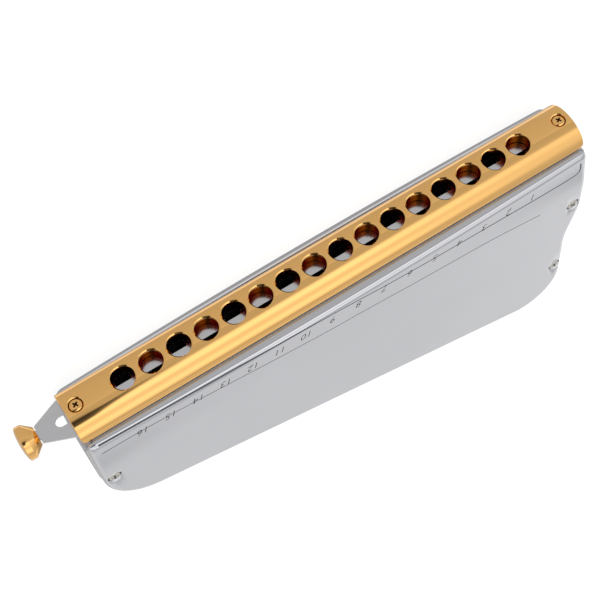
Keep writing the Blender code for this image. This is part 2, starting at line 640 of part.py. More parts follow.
def reed_plate(name, side):
    low, high = sorted((side * PLATE_BOTTOM_Z, side * PLATE_TOP_Z))
    outline = clip_front(cover_outline(COMB_PROUD), FLANGE_BACK_Y + GAP)
    plate = piece(name, shape((add_prism, outline, "z", low, high)), BRASS)

    sunk = REED_THICKNESS * 0.4
    inner_z = sorted((side * (PLATE_BOTTOM_Z + sunk), side * (PLATE_BOTTOM_Z + sunk - REED_THICKNESS)))
    outer_z = sorted((side * (PLATE_TOP_Z - sunk), side * (PLATE_TOP_Z - sunk + REED_THICKNESS)))
    slots, reeds = [], []
    for n in range(1, HOLE_COUNT + 1):
        front = CELL_FRONT_Y + REED_START
        back = front + reed_length(n)
        (inner_left, inner_right), (outer_left, outer_right) = cell_ends(n)
        for left, right, ends, pad_front in (
            (inner_left, inner_right, inner_z, True),
            (outer_left, outer_right, outer_z, False),
        ):
            middle = (left + right) / 2
            half = REED_WIDTH / 2
            slot_front = front + REED_PAD_LENGTH if pad_front else front - REED_GAP
            slot_back = back + REED_GAP if pad_front else back - REED_PAD_LENGTH
            slots.append((add_box, (middle - half - REED_GAP, slot_front, low - GAP),
                          (middle + half + REED_GAP, slot_back, high + GAP)))
            reeds.append((add_box, (middle - half, front, ends[0]), (middle + half, back, ends[1])))
    boolean(plate, "DIFFERENCE", "slots", shape(*slots))
    boolean(plate, "UNION", "reeds", shape(*reeds))

    holes = []
    for places, radius, steps in (
        (COVER_SCREWS, POST_RADIUS, BORE_STEPS),
        (PLATE_SCREWS, PLATE_SCREW_RADIUS, SMALL_STEPS),
    ):
        for place in places:
            centre = (*from_end(*place), 0)
            holes.append((add_cylinder, radius + GAP, "z", centre, low - GAP, high + GAP, steps))
    boolean(plate, "DIFFERENCE", "screw_holes", shape(*holes))


def reed_plate_screws():
    seat = PLATE_TOP_Z + GAP
    top = seat + PLATE_SCREW_HEAD_HEIGHT
    head = PLATE_SCREW_HEAD_RADIUS
    tip = COVER_RIM_Z - PLATE_SCREW_LENGTH
    for word, side in (("upper", 1), ("lower", -1)):
        for number, place in enumerate(PLATE_SCREWS, 1):
            x, y = from_end(*place)
            profile = [(0, tip), (PLATE_SCREW_RADIUS, tip), (PLATE_SCREW_RADIUS, seat), (head, seat),
                       (head * 0.9, top), (0, top)]
            profile = [(radius, side * z) for radius, z in profile]
            bm = shape((add_lathe, profile, "z", (x, y, 0), SMALL_STEPS))
            screw = piece(f"{word}_reed_plate_screw_{number}", bm, STEEL)
            slot = head * 0.16
            near, far = sorted((side * (top - PLATE_SCREW_HEAD_HEIGHT / 2), side * (top + head)))
            low, high = (x - head * 2, y - slot, near), (x + head * 2, y + slot, far)
            boolean(screw, "DIFFERENCE", "slot", shape((add_box, low, high)))


# The covers, their screws and nuts


def panel_z(x, y):
    """The height of a cover's panel: arched along its front edge, level further back."""
    front = COVER_FRONT * MM + COVER_SHOULDER
    share = min(max((y - front) / (ARCH_FADE - COVER_SHOULDER), 0), 1)
    fade = 1 - share * share * (3 - 2 * share)
    return COVER_TOP - COVER_ARCH * (x / MOUTH_HALF_LENGTH) ** 2 * fade


def add_cover_skin(bm, side):
    """The outer skin, as rings of the outline: up the wall, over the shoulder and across the arch."""
    quarter = [math.radians(a) for a in (0, 30, 60, 90)]
    rings = [(0.0, None)]
    rings += [(COVER_SHOULDER * (1 - math.cos(a)), COVER_SHOULDER * (1 - math.sin(a))) for a in quarter]
    rings += [(COVER_SHOULDER + (ARCH_FADE - COVER_SHOULDER) * share, 0.0) for share in (0.35, 0.7, 1.03)]
    loops = []
    for inset, drop in rings:
        loop = []
        for x, y in cover_outline(-inset):
            z = COVER_RIM_Z if drop is None else panel_z(x, y) - drop
            loop.append(bm.verts.new((x, y, side * z)))
        loops.append([bm.edges.new(pair) for pair in zip(loop, loop[1:] + loop[:1])])
    for low, high in zip(loops, loops[1:]):
        bmesh.ops.bridge_loops(bm, edges=low + high)
    bmesh.ops.holes_fill(bm, edges=loops[-1])
    # Each face looks out, so that the sheet's thickness grows inwards.
    bmesh.ops.recalc_face_normals(bm, faces=bm.faces)
    flat = max(bm.faces, key=lambda face: face.calc_area())
    if flat.normal.z * side < 0:
        bmesh.ops.reverse_faces(bm, faces=bm.faces)


def vent_corners():
    """The two ends of the straight back edge between the fillets."""
    near, far = (Vector(from_end(*place)) for *place, _ in COVER_CORNERS[1:3])
    along = (far - near).normalized()
    return near + along * VENT_MARGIN, far - along * VENT_MARGIN, Vector((along.y, -along.x))


def cover(name, side):
    shell = piece(name, shape((add_cover_skin, side)), CHROME)
    sheet = shell.modifiers.new("sheet", "SOLIDIFY")
    sheet.thickness = COVER_SHEET
    sheet.offset = -1
    sheet.use_even_offset = True

    wide, top = DIMPLE_FLOOR_RADIUS + COVER_SHEET * 0.8, COVER_TOP - COVER_SHEET / 2
    base = DIMPLE_FLOOR_Z - COVER_SHEET
    boss = ((0, base), (wide, base), (wide, top - COVER_SHEET), (DIMPLE_FLOOR_RADIUS, top), (0, top))
    boss = [(radius, side * z) for radius, z in boss]
    at = [(*from_end(*place), 0) for place in COVER_SCREWS]
    bosses = [(add_lathe, boss, "z", place, BORE_STEPS) for place in at]
    boolean(shell, "UNION", "bosses", shape(*bosses))
    dimple = ((0, COVER_RIM_Z), (COVER_HOLE_RADIUS, COVER_RIM_Z), (COVER_HOLE_RADIUS, DIMPLE_FLOOR_Z),
              (DIMPLE_FLOOR_RADIUS, DIMPLE_FLOOR_Z), (DIMPLE_RADIUS, COVER_TOP),
              (DIMPLE_RADIUS, COVER_TOP + GAP), (0, COVER_TOP + GAP))
    dimple = [(radius, side * z) for radius, z in dimple]
    dimples = [(add_lathe, dimple, "z", place, BORE_STEPS) for place in at]
    boolean(shell, "DIFFERENCE", "dimples", shape(*dimples))

    near, far, outward = vent_corners()
    deep = 2 * COVER_SHOULDER
    corners = [near - outward * deep, near + outward * deep, far + outward * deep, far - outward * deep]
    low, high = sorted((side * (COVER_RIM_Z - GAP), side * (COVER_RIM_Z + VENT_HEIGHT)))
    boolean(shell, "DIFFERENCE", "vent", shape((add_prism, [tuple(c) for c in corners], "z", low, high)))


def cover_screws():
    top, seat = COVER_TOP - GAP, DIMPLE_FLOOR_Z + GAP
    head = COVER_HEAD_RADIUS
    profile = ((0, -top), (COVER_SCREW_RADIUS, -top), (COVER_SCREW_RADIUS, seat), (head, seat),
               (head, (seat + top) / 2), (head * 0.9, top), (0, top))
    for number, place in enumerate(COVER_SCREWS, 1):
        x, y = from_end(*place)
        turned = (add_lathe, profile, "z", (x, y, 0), BORE_STEPS)
        screw = piece(f"cover_screw_{number}", shape(turned), STEEL)
        cross = cross_outline(x, y, 0.66 * head, 0.16 * head)
        boolean(screw, "DIFFERENCE", "cross", shape((add_prism, cross, "z", (seat + top) / 2, top + head)))


def cover_nuts():
    """Round nuts, sunk in the bottom cover's dimples."""
    low, high = -COVER_TOP + GAP, -DIMPLE_FLOOR_Z - GAP
    for number, place in enumerate(COVER_SCREWS, 1):
        centre = (*from_end(*place), 0)
        disc = (add_cylinder, COVER_HEAD_RADIUS, "z", centre, low, high, BORE_STEPS)
        nut = piece(f"cover_nut_{number}", shape(disc), STEEL)
        boolean(nut, "DIFFERENCE", "bore", shape(
            (add_cylinder, COVER_HOLE_RADIUS, "z", centre, low - GAP, high + GAP, BORE_STEPS)))


for leftover in list(bpy.data.objects):
    bpy.data.objects.remove(leftover, do_unlink=True)
PARTS = new_collection("chromatic_harmonica")
CUTTERS = new_collection("cutters", hidden=True)

mouthpiece()
mouthpiece_screws()
slide()
slide_back_plate()
slide_button()
return_spring()
spring_pin()
comb()
reed_plate("upper_reed_plate", 1)
reed_plate("lower_reed_plate", -1)
reed_plate_screws()
cover("top_cover", 1)
cover("bottom_cover", -1)
cover_screws()
cover_nuts()
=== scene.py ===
"""The looks of a sixteen-hole chromatic harmonica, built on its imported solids.

Pieces are modelled in millimetres in the instrument's own frame, as the solids are: x runs along the mouthpiece
towards the button, y runs back from the front line of the mouthpiece, z is measured from the mid-plane between
the covers. settled() turns that into metres on the table.
"""

import math

import bmesh
import bpy
from mathutils import Matrix, Vector


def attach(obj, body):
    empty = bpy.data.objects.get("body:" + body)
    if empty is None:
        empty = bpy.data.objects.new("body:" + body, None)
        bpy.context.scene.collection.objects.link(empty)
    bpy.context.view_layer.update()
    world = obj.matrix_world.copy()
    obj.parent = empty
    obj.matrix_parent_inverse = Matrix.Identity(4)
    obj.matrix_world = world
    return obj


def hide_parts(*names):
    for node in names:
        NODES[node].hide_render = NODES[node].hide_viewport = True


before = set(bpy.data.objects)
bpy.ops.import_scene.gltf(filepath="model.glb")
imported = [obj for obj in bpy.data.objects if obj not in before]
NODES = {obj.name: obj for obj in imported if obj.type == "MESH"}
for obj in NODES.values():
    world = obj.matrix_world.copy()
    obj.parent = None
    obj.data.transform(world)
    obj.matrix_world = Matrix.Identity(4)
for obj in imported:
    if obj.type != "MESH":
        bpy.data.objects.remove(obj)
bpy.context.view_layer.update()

# Sizes in mm, as in the solids

ON_TABLE = Matrix.Scale(0.001, 4) @ Matrix.Translation((0, -45, 13))
SAME_PLACE = 0.0005  # vertices this near are one
CREASE = 32  # degrees between faces from which an edge is sharp
BUTTON_CREASE = 24
BAR_CREASE = 20  # keeps the rounded ends from bending the shading of the mouthpiece's long flanks

HOLE_NUMBERS = range(1, 17)
HOLE_PITCH = 9.5
HOLE_RADIUS = 3.68
LIP_DEPTH = 0.8
MOUTH_HALF_LENGTH = 90.75
MOUTH_HALF_HEIGHT = 9.0
MOUTH_DEPTH = 7.0
MOUTH_SCREW_X = 86.9
MOUTH_END_WALL = 1.0
CHANNEL_FRONT_Y, CHANNEL_HALF_HEIGHT = 4.4, 7.2  # the slide's channel in the back of the mouthpiece

SLIDE_FRONT_Y, SLIDE_BACK_Y = 4.7, 5.3
SLIDE_MID_Y = (SLIDE_FRONT_Y + SLIDE_BACK_Y) / 2
BUTTON_BACK_X = 100.5

COVER_CORNERS = (
    (90.5, 7.7, 3.0), (90.5, 48.8, 22.0), (-87.5, 95.6, 15.0), (-86.7, 53.0, 26.0), (-91.0, 37.0, 22.0),
    (-91.0, 7.7, 3.0),
)
COVER_RIM, COVER_TOP = 9.25, 13.0
RIM_LEAN = 1.3
COVER_SHEET = 0.6
SHOULDER, SHOULDER_STEPS = 2.0, 9
ARCH, ARCH_FRONT, ARCH_FADE = 1.35, 9.7, 15.0
COVER_SCREWS = ((87.0, 30.0), (-87.2, 33.5), (-84.0, 70.5))
DIMPLE_FLOOR = 11.7
VENT_MARGIN, VENT_TOP, VENT_REACH = 24.0, 11.5, 4.0
NUMBERS_Y = 13.0
NUMBERS_SHIFT = 2.1  # towards the button from the holes
# The two fine grooves along the top cover, as places on its panel; their dark finish is a painted reflection of dark
# lines
LINE_RADII = (0.24, 0.17)
PAINTED_REFLECTION_GROOVES = (
    ((87.2, 8.35), (80.2, 8.35), (66.9, 8.4), (46.6, 8.5), (32.9, 8.75), (18.8, 9.15), (7.0, 9.7), (-3.0, 10.7),
     (-12.0, 11.7), (-22.0, 12.5), (-31.0, 13.2), (-41.0, 13.7), (-50.0, 14.2), (-60.0, 14.8), (-69.0, 15.4),
     (-78.0, 15.8), (-85.0, 16.0), (-87.8, 15.4), (-88.3, 13.4), (-88.1, 11.2)),
    ((87.4, 12.9), (80.0, 12.6), (70.0, 12.6), (60.0, 13.2), (50.0, 14.2), (40.0, 15.2), (26.0, 16.8), (16.0, 17.9),
     (7.0, 18.8), (-3.0, 19.4), (-12.0, 20.2), (-22.0, 21.2), (-36.7, 22.3), (-50.0, 23.1), (-60.0, 24.3),
     (-72.7, 26.4)),
)


def hole_x(number):
    """Hole 1 is at the far end from the button."""
    return (number - 8.5) * HOLE_PITCH


def front_depth(z):
    """How far back the mouthpiece's half-elliptic front lies at this height."""
    return MOUTH_DEPTH * (1 - math.sqrt(max(0.0, 1 - (z / MOUTH_HALF_HEIGHT) ** 2)))


def panel_drop(x, y):
    """How far the cover's arched front lies below its level panel."""
    share = min(max((y - ARCH_FRONT) / ARCH_FADE, 0), 1)
    return ARCH * (x / MOUTH_HALF_LENGTH) ** 2 * (1 - share * share * (3 - 2 * share))


def panel_z(x, y):
    """The height of the top cover's face over its front shoulder and its panel."""
    inward = min(max(ARCH_FRONT - y, 0), SHOULDER)
    return COVER_TOP - panel_drop(x, y) - SHOULDER + math.sqrt(SHOULDER ** 2 - inward ** 2)


# Making pieces


def settled(name, bm, crease=CREASE):
    """An object of the bmesh, in metres on the table, smooth but for edges sharper than the crease."""
    if all(edge.is_manifold for edge in bm.edges):
        bmesh.ops.recalc_face_normals(bm, faces=bm.faces)
        # A tool left inside out would cut nothing.
        if bm.calc_volume(signed=True) < 0:
            bmesh.ops.reverse_faces(bm, faces=bm.faces)
    bm.transform(ON_TABLE)
    mesh = bpy.data.meshes.new(name)
    bm.to_mesh(mesh)
    bm.free()
    made = bpy.data.objects.new(name, mesh)
    bpy.context.scene.collection.objects.link(made)
    smooth(mesh, crease)
    return made


def smooth(mesh, crease=CREASE):
    mesh.shade_smooth()
    mesh.set_sharp_from_angle(angle=math.radians(crease))


def cut(target, crease=CREASE, **tools):
    """Applies Booleans to the target: join=, keep= and away= each take a bmesh."""
    for word, operation in (("keep", "INTERSECT"), ("join", "UNION"), ("away", "DIFFERENCE")):
        if word not in tools:
            continue
        tool = settled(f"{target.name}_{word}", tools[word])
        modifier = target.modifiers.new(word, "BOOLEAN")
        modifier.operation, modifier.solver, modifier.object = operation, "MANIFOLD", tool
        bake(target, crease)
        bpy.data.objects.remove(tool)
    return target


def bake(target, crease=CREASE):
    """Makes the target's modifiers its mesh."""
    graph = bpy.context.evaluated_depsgraph_get()
    graph.update()
    mesh = bpy.data.meshes.new_from_object(target.evaluated_get(graph))
    target.modifiers.clear()
    target.data = mesh
    smooth(mesh, crease)


def shapes(*calls):
    """A bmesh made by a list of (function, arguments)."""
    bm = bmesh.new()
    for function, *arguments in calls:
        function(bm, *arguments)
    return bm


def box(bm, low, high):
    middle, size = (Vector(low) + Vector(high)) / 2, Vector(high) - Vector(low)
    bmesh.ops.create_cube(bm, size=1, matrix=Matrix.Translation(middle) @ Matrix.Diagonal((*size, 1)))


def turned(bm, profile, axis, centre, steps=64):
    """A profile of (radius, place along the axis) spun round an axis through the centre."""
    along = Vector({"x": (1, 0, 0), "y": (0, 1, 0), "z": (0, 0, 1)}[axis])
    out = Vector({"x": (0, 0, 1), "y": (1, 0, 0), "z": (1, 0, 0)}[axis])
    centre = Vector(centre)
    points = [bm.verts.new(centre + along * place + out * radius) for radius, place in profile]
    edges = [bm.edges.new(pair) for pair in zip(points, points[1:])]
    bmesh.ops.spin(bm, geom=points + edges, cent=centre, axis=along, angle=2 * math.pi, steps=steps, use_merge=True)
    bmesh.ops.remove_doubles(bm, verts=bm.verts, dist=SAME_PLACE)


def rounded(bm, corners, axis, low, high, steps=12):
    """A prism of an outline through corners of (a, b, fillet radius), its fillets spun and its length extruded."""
    edges = fillet_loop(bm, corners, steps)
    face = bmesh.ops.contextual_create(bm, geom=edges)["faces"][0]
    lower = list(face.verts)
    made = bmesh.ops.extrude_face_region(bm, geom=[face])["geom"]
    upper = [v for v in made if isinstance(v, bmesh.types.BMVert)]
    bmesh.ops.translate(bm, verts=upper, vec=(0, 0, high))
    bmesh.ops.translate(bm, verts=lower, vec=(0, 0, low))
    turn = {"x": Matrix(((0, 0, 1), (1, 0, 0), (0, 1, 0))), "y": Matrix(((1, 0, 0), (0, 0, 1), (0, 1, 0))),
            "z": Matrix.Identity(3)}[axis]
    bmesh.ops.transform(bm, verts=upper + lower, matrix=turn.to_4x4())


def rectangle(left, right, low, high, radius):
    """The corners of a rectangle, all with the same fillet."""
    return (left, low, radius), (right, low, radius), (right, high, radius), (left, high, radius)


def fillet_loop(bm, corners, steps=12):
    """A closed loop of edges in the xy plane, each corner a vertex spun through its fillet."""
    chains, count = [], len(corners)
    for i, (x, y, radius) in enumerate(corners):
        here = Vector((x, y, 0))
        along_a = (here - Vector((*corners[i - 1][:2], 0))).normalized()
        along_b = (Vector((*corners[(i + 1) % count][:2], 0)) - here).normalized()
        turn = math.atan2(along_a.cross(along_b).z, along_a.dot(along_b))
        inward = Vector((-along_a.y, along_a.x, 0)) * math.copysign(1, turn)
        start = here - along_a * radius * math.tan(abs(turn) / 2)
        chain = [bm.verts.new(start)]
        geom = [chain[0]]
        for _ in range(steps):
            made = bmesh.ops.spin(bm, geom=geom, cent=start + inward * radius, axis=(0, 0, 1),
                                  angle=turn / steps, steps=1, use_merge=False)
            geom = [v for v in made["geom_last"] if isinstance(v, bmesh.types.BMVert)]
            chain += geom
        chains.append(chain)
    for before, after in zip(chains, chains[1:] + chains[:1]):
        bm.edges.new((before[-1], after[0]))
    loop = [v for chain in chains for v in chain]
    return [bm.edges.get(pair) for pair in zip(loop, loop[1:] + loop[:1])]


# Materials


def linear(code):
    """An sRGB hex colour as linear red, green, blue and alpha."""
    levels = [int(code[i:i + 2], 16) / 255 for i in (0, 2, 4)]
    return (*(v / 12.92 if v <= 0.04045 else ((v + 0.055) / 1.055) ** 2.4 for v in levels), 1)


def add(tree, kind, settings):
    """Adds a node. A key is a setting or a socket, and a value that is an output is linked."""
    node = tree.nodes.new(kind)
    for key, value in settings.items():
        if isinstance(key, str) and hasattr(node, key):
            setattr(node, key, value)
            continue
        socket = node.inputs[key]
        if isinstance(value, bpy.types.NodeSocket):
            tree.links.new(value, socket)
        else:
            socket.default_value = value
    return node


def feed(tree, shader, outputs):
    """Links outputs to the shader's sockets of these names."""
    for key, output in outputs.items():
        tree.links.new(output, shader.inputs[key])


def finish_of(name, settings):
    """A new material: its tree, its shader, and the object's coordinates in millimetres."""
    material = bpy.data.materials.new(name)
    material.use_nodes = True
    tree = material.node_tree
    shader = tree.nodes["Principled BSDF"]
    for key, value in settings.items():
        shader.inputs[key].default_value = value
    place = add(tree, "ShaderNodeTexCoord", {})
    scale = add(tree, "ShaderNodeMapping", {"Vector": place.outputs["Object"], "Scale": (1000, 1000, 1000)})
    return material, tree, shader, scale.outputs["Vector"]


def polished_gold_plate():
    # Gold plate over polished brass: a warm mirror, with the soft blur and faint lengthways marks of buffing.
    material, tree, shader, mm = finish_of("polished_gold_plate", {"Metallic": 1.0})
    cloud = add(tree, "ShaderNodeTexNoise", {"Vector": mm, "Scale": 0.09, "Detail": 3.0})
    tint = add(tree, "ShaderNodeMix", {"data_type": "RGBA", 0: cloud.outputs["Fac"], 6: linear("F8C274"),
                                       7: linear("F4C17A")})
    # Buffing marks are some 0.02 mm apart. They are drawn 0.3 mm apart and 20 times as long, to show at all.
    along = add(tree, "ShaderNodeMapping", {"Vector": mm, "Scale": (0.16, 3.3, 3.3)})
    marks = add(tree, "ShaderNodeTexNoise", {"Vector": along.outputs["Vector"], "Scale": 1.0, "Detail": 4.0})
    blur = add(tree, "ShaderNodeMapRange", {"Value": marks.outputs["Fac"], "To Min": 0.04, "To Max": 0.11})
    relief = add(tree, "ShaderNodeBump", {"Height": marks.outputs["Fac"], "Strength": 0.12, "Distance": 0.00002})
    feed(tree, shader, {"Base Color": tint.outputs[2], "Roughness": blur.outputs["Result"],
                        "Normal": relief.outputs["Normal"]})
    return material


def dull_gold_plate():
    # Inside the holes the wheel never reached, so the plate is matt; its dark reddish brown is painted shade of the
    # bores.
    material, tree, shader, mm = finish_of("dull_gold_plate", {"Metallic": 1.0, "Specular Tint": linear("A86A34")})
    # Drill rings are about 0.1 mm apart, drawn 0.4 mm apart down the bore.
    rings = add(tree, "ShaderNodeMapping", {"Vector": mm, "Scale": (0.3, 2.5, 0.3)})
    marks = add(tree, "ShaderNodeTexNoise", {"Vector": rings.outputs["Vector"], "Scale": 1.0, "Detail": 3.0})
    tint = add(tree, "ShaderNodeMix", {"data_type": "RGBA", 0: marks.outputs["Fac"], 6: linear("6A320E"),
                                       7: linear("9A5A24")})
    blur = add(tree, "ShaderNodeMapRange", {"Value": marks.outputs["Fac"], "To Min": 0.2, "To Max": 0.35})
    relief = add(tree, "ShaderNodeBump", {"Height": marks.outputs["Fac"], "Strength": 0.2, "Distance": 0.00003})
    feed(tree, shader, {"Base Color": tint.outputs[2], "Roughness": blur.outputs["Result"],
                        "Normal": relief.outputs["Normal"]})
    return material


def polished_chrome_plate():
    # Chrome over polished nickel and brass sheet: a cool mirror with a very fine satin and a slight pressed wave.
    material, tree, shader, mm = finish_of("polished_chrome_plate", {"Metallic": 1.0})
    cloud = add(tree, "ShaderNodeTexNoise", {"Vector": mm, "Scale": 0.03, "Detail": 2.0})
    tint = add(tree, "ShaderNodeMix", {"data_type": "RGBA", 0: cloud.outputs["Fac"], 6: linear("C2C3C6"),
                                       7: linear("CBCBCF")})
    # Polishing haze: hairlines some 0.01 mm wide, drawn 0.4 mm apart along the plate.
    along = add(tree, "ShaderNodeMapping", {"Vector": mm, "Rotation": (0, 0, 0.12), "Scale": (0.05, 2.5, 2.5)})
    marks = add(tree, "ShaderNodeTexNoise", {"Vector": along.outputs["Vector"], "Scale": 1.0, "Detail": 5.0})
    blur = add(tree, "ShaderNodeMapRange", {"Value": marks.outputs["Fac"], "To Min": 0.07, "To Max": 0.16})
    wave = add(tree, "ShaderNodeTexNoise", {"Vector": mm, "Scale": 0.12, "Detail": 1.0})
    relief = add(tree, "ShaderNodeBump", {"Height": wave.outputs["Fac"], "Strength": 0.1, "Distance": 0.0001})
    feed(tree, shader, {"Base Color": tint.outputs[2], "Roughness": blur.outputs["Result"],
                        "Normal": relief.outputs["Normal"]})
    return material


def brushed_stainless_sheet(name, dark, light, low, high):
    # Cold-rolled stainless sheet, brushed lengthways: a grey satin metal whose highlights smear across the brushing.
    material, tree, shader, mm = finish_of(name, {"Metallic": 1.0, "Anisotropic": 0.4})
    # The real brushing is 0.05 mm fine, drawn here 0.25 mm apart.
    along = add(tree, "ShaderNodeMapping", {"Vector": mm, "Scale": (0.08, 4.0, 4.0)})
    lines = add(tree, "ShaderNodeTexNoise", {"Vector": along.outputs["Vector"], "Scale": 1.0, "Detail": 6.0})
    tint = add(tree, "ShaderNodeMix", {"data_type": "RGBA", 0: lines.outputs["Fac"], 6: linear(dark),
                                       7: linear(light)})
    blur = add(tree, "ShaderNodeMapRange", {"Value": lines.outputs["Fac"], "To Min": low, "To Max": high})
    relief = add(tree, "ShaderNodeBump", {"Height": lines.outputs["Fac"], "Strength": 0.25, "Distance": 0.00003})
    feed(tree, shader, {"Base Color": tint.outputs[2], "Roughness": blur.outputs["Result"],
                        "Normal": relief.outputs["Normal"]})
    return material


def rolled_brass_plate():
    # Hard-rolled brass, left bare: rolling lines, and patches where handling has dulled it to brown.
    material, tree, shader, mm = finish_of("rolled_brass_plate", {"Metallic": 1.0})
    # The rolls leave lines 0.05 mm apart, drawn here 0.3 mm apart.
    along = add(tree, "ShaderNodeMapping", {"Vector": mm, "Scale": (0.1, 3.0, 3.0)})
    lines = add(tree, "ShaderNodeTexNoise", {"Vector": along.outputs["Vector"], "Scale": 1.0, "Detail": 4.0})
    cloud = add(tree, "ShaderNodeTexNoise", {"Vector": mm, "Scale": 0.12, "Detail": 5.0})
    patch = add(tree, "ShaderNodeMapRange", {"Value": cloud.outputs["Fac"], "From Min": 0.45, "From Max": 0.75})
    bare = add(tree, "ShaderNodeMix", {"data_type": "RGBA", 0: patch.outputs["Result"], 6: linear("D0B068"),
                                       7: linear("A98845")})
    # The plates' end beside the button, beyond the covers, is nickelled with their edges.
    place = add(tree, "ShaderNodeSeparateXYZ", {"Vector": mm})
    end = add(tree, "ShaderNodeMath", {"operation": "GREATER_THAN", 0: place.outputs["X"], 1: 90.3})
    tint = add(tree, "ShaderNodeMix", {"data_type": "RGBA", 0: end.outputs[0], 6: bare.outputs[2],
                                       7: linear("CFCCC6")})
    blur = add(tree, "ShaderNodeMapRange", {"Value": lines.outputs["Fac"], "To Min": 0.22, "To Max": 0.4})
    relief = add(tree, "ShaderNodeBump", {"Height": lines.outputs["Fac"], "Strength": 0.2, "Distance": 0.00003})
    feed(tree, shader, {"Base Color": tint.outputs[2], "Roughness": blur.outputs["Result"],
                        "Normal": relief.outputs["Normal"]})
    return material


def moulded_black_abs():
    # Black ABS, moulded in a spark-eroded tool: nearly black cells, with a fine grain and a soft gloss.
    material, tree, shader, mm = finish_of("moulded_black_abs", {"IOR": 1.53})
    cloud = add(tree, "ShaderNodeTexNoise", {"Vector": mm, "Scale": 0.4, "Detail": 3.0})
    tint = add(tree, "ShaderNodeMix", {"data_type": "RGBA", 0: cloud.outputs["Fac"], 6: linear("131315"),
                                       7: linear("1C1B1D")})
    # The tool's grain is about 0.05 mm, drawn here 0.3 mm across.
    grain = add(tree, "ShaderNodeTexNoise", {"Vector": mm, "Scale": 3.0, "Detail": 3.0})
    blur = add(tree, "ShaderNodeMapRange", {"Value": grain.outputs["Fac"], "To Min": 0.35, "To Max": 0.5})
    relief = add(tree, "ShaderNodeBump", {"Height": grain.outputs["Fac"], "Strength": 0.2, "Distance": 0.00004})
    feed(tree, shader, {"Base Color": tint.outputs[2], "Roughness": blur.outputs["Result"],
                        "Normal": relief.outputs["Normal"]})
    return material


def satin_silver_lacquer():
    # Silver lacquer on the comb's rim: aluminium flake in a clear binder, a pale metal with a soft blur.
    material, tree, shader, mm = finish_of("satin_silver_lacquer", {"Metallic": 0.85})
    # Flakes are about 0.03 mm; they are drawn 0.2 mm across.
    flake = add(tree, "ShaderNodeTexVoronoi", {"Vector": mm, "Scale": 5.0})
    tint = add(tree, "ShaderNodeMix", {"data_type": "RGBA", 0: flake.outputs["Distance"], 6: linear("C4C4C8"),
                                       7: linear("AEAEB3")})
    grain = add(tree, "ShaderNodeTexNoise", {"Vector": mm, "Scale": 3.0, "Detail": 3.0})
    blur = add(tree, "ShaderNodeMapRange", {"Value": grain.outputs["Fac"], "To Min": 0.28, "To Max": 0.42})
    relief = add(tree, "ShaderNodeBump", {"Height": grain.outputs["Fac"], "Strength": 0.2, "Distance": 0.00004})
    feed(tree, shader, {"Base Color": tint.outputs[2], "Roughness": blur.outputs["Result"],
                        "Normal": relief.outputs["Normal"]})
    return material


def nickel_plated_steel():
    # Nickel over turned steel: a slightly warm mirror, dulled by tumbling.
    material, tree, shader, mm = finish_of("nickel_plated_steel", {"Metallic": 1.0})
    # Dents of tumbling, some 0.8 mm across.
    cloud = add(tree, "ShaderNodeTexNoise", {"Vector": mm, "Scale": 1.2, "Detail": 4.0})
    tint = add(tree, "ShaderNodeMix", {"data_type": "RGBA", 0: cloud.outputs["Fac"], 6: linear("BDB8AE"),
                                       7: linear("D2CFC8")})
    blur = add(tree, "ShaderNodeMapRange", {"Value": cloud.outputs["Fac"], "To Min": 0.1, "To Max": 0.26})
    relief = add(tree, "ShaderNodeBump", {"Height": cloud.outputs["Fac"], "Strength": 0.15, "Distance": 0.00003})
    feed(tree, shader, {"Base Color": tint.outputs[2], "Roughness": blur.outputs["Result"],
                        "Normal": relief.outputs["Normal"]})
    return material


def etched_chrome():
    # Numbers cut through the bright plate: matt, darker grey, and catching no highlight. On the fine lines it is a
    # painted reflection, in the screws' recesses painted shade.
    material, tree, shader, mm = finish_of("etched_chrome", {"Metallic": 1.0})
    # The etched grit is 0.02 mm, drawn here 0.12 mm across.
    grit = add(tree, "ShaderNodeTexNoise", {"Vector": mm, "Scale": 8.0, "Detail": 3.0})
    tint = add(tree, "ShaderNodeMix", {"data_type": "RGBA", 0: grit.outputs["Fac"], 6: linear("4A4B50"),
                                       7: linear("6E6F74")})
    blur = add(tree, "ShaderNodeMapRange", {"Value": grit.outputs["Fac"], "To Min": 0.35, "To Max": 0.6})
    feed(tree, shader, {"Base Color": tint.outputs[2], "Roughness": blur.outputs["Result"]})
    return material


GOLD = polished_gold_plate()
PAINTED_SHADE_GOLD = dull_gold_plate()
CHROME = polished_chrome_plate()
SLIDE_STEEL = brushed_stainless_sheet("brushed_stainless_sheet", "C9C9CC", "D6D6D8", 0.14, 0.24)
SPRING_STEEL = brushed_stainless_sheet("drawn_spring_wire", "9A9A9C", "B4B4B6", 0.2, 0.3)
BRASS = rolled_brass_plate()
BLACK_ABS = moulded_black_abs()
SILVER_RIM = satin_silver_lacquer()
NICKEL = nickel_plated_steel()
ETCHED_AND_PAINTED_SHADE = etched_chrome()


def fitted(piece, material, body, node):
    """Gives the piece its finish and its place on the moving instrument, instead of this solid."""
    piece.data.materials.clear()
    piece.data.materials.append(material)
    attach(piece, body)
    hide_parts(node)


def mark(piece, material, found):
    """Gives the second material to each face whose centre, in the instrument's millimetres, is found."""
    piece.data.materials.append(material)
    off_table = ON_TABLE.inverted()
    for face in piece.data.polygons:
        face.material_index = int(found(off_table @ face.center))


# The mouthpiece, its screws and the slide


def in_bore(place):
    """Whether a place is on the wall of a hole, behind its lip."""
    if not front_depth(place.z) + LIP_DEPTH - 0.05 < place.y < CHANNEL_FRONT_Y + 0.05:
        return False
    return any(math.hypot(place.x - hole_x(number), place.z) < HOLE_RADIUS + 0.02 for number in HOLE_NUMBERS)


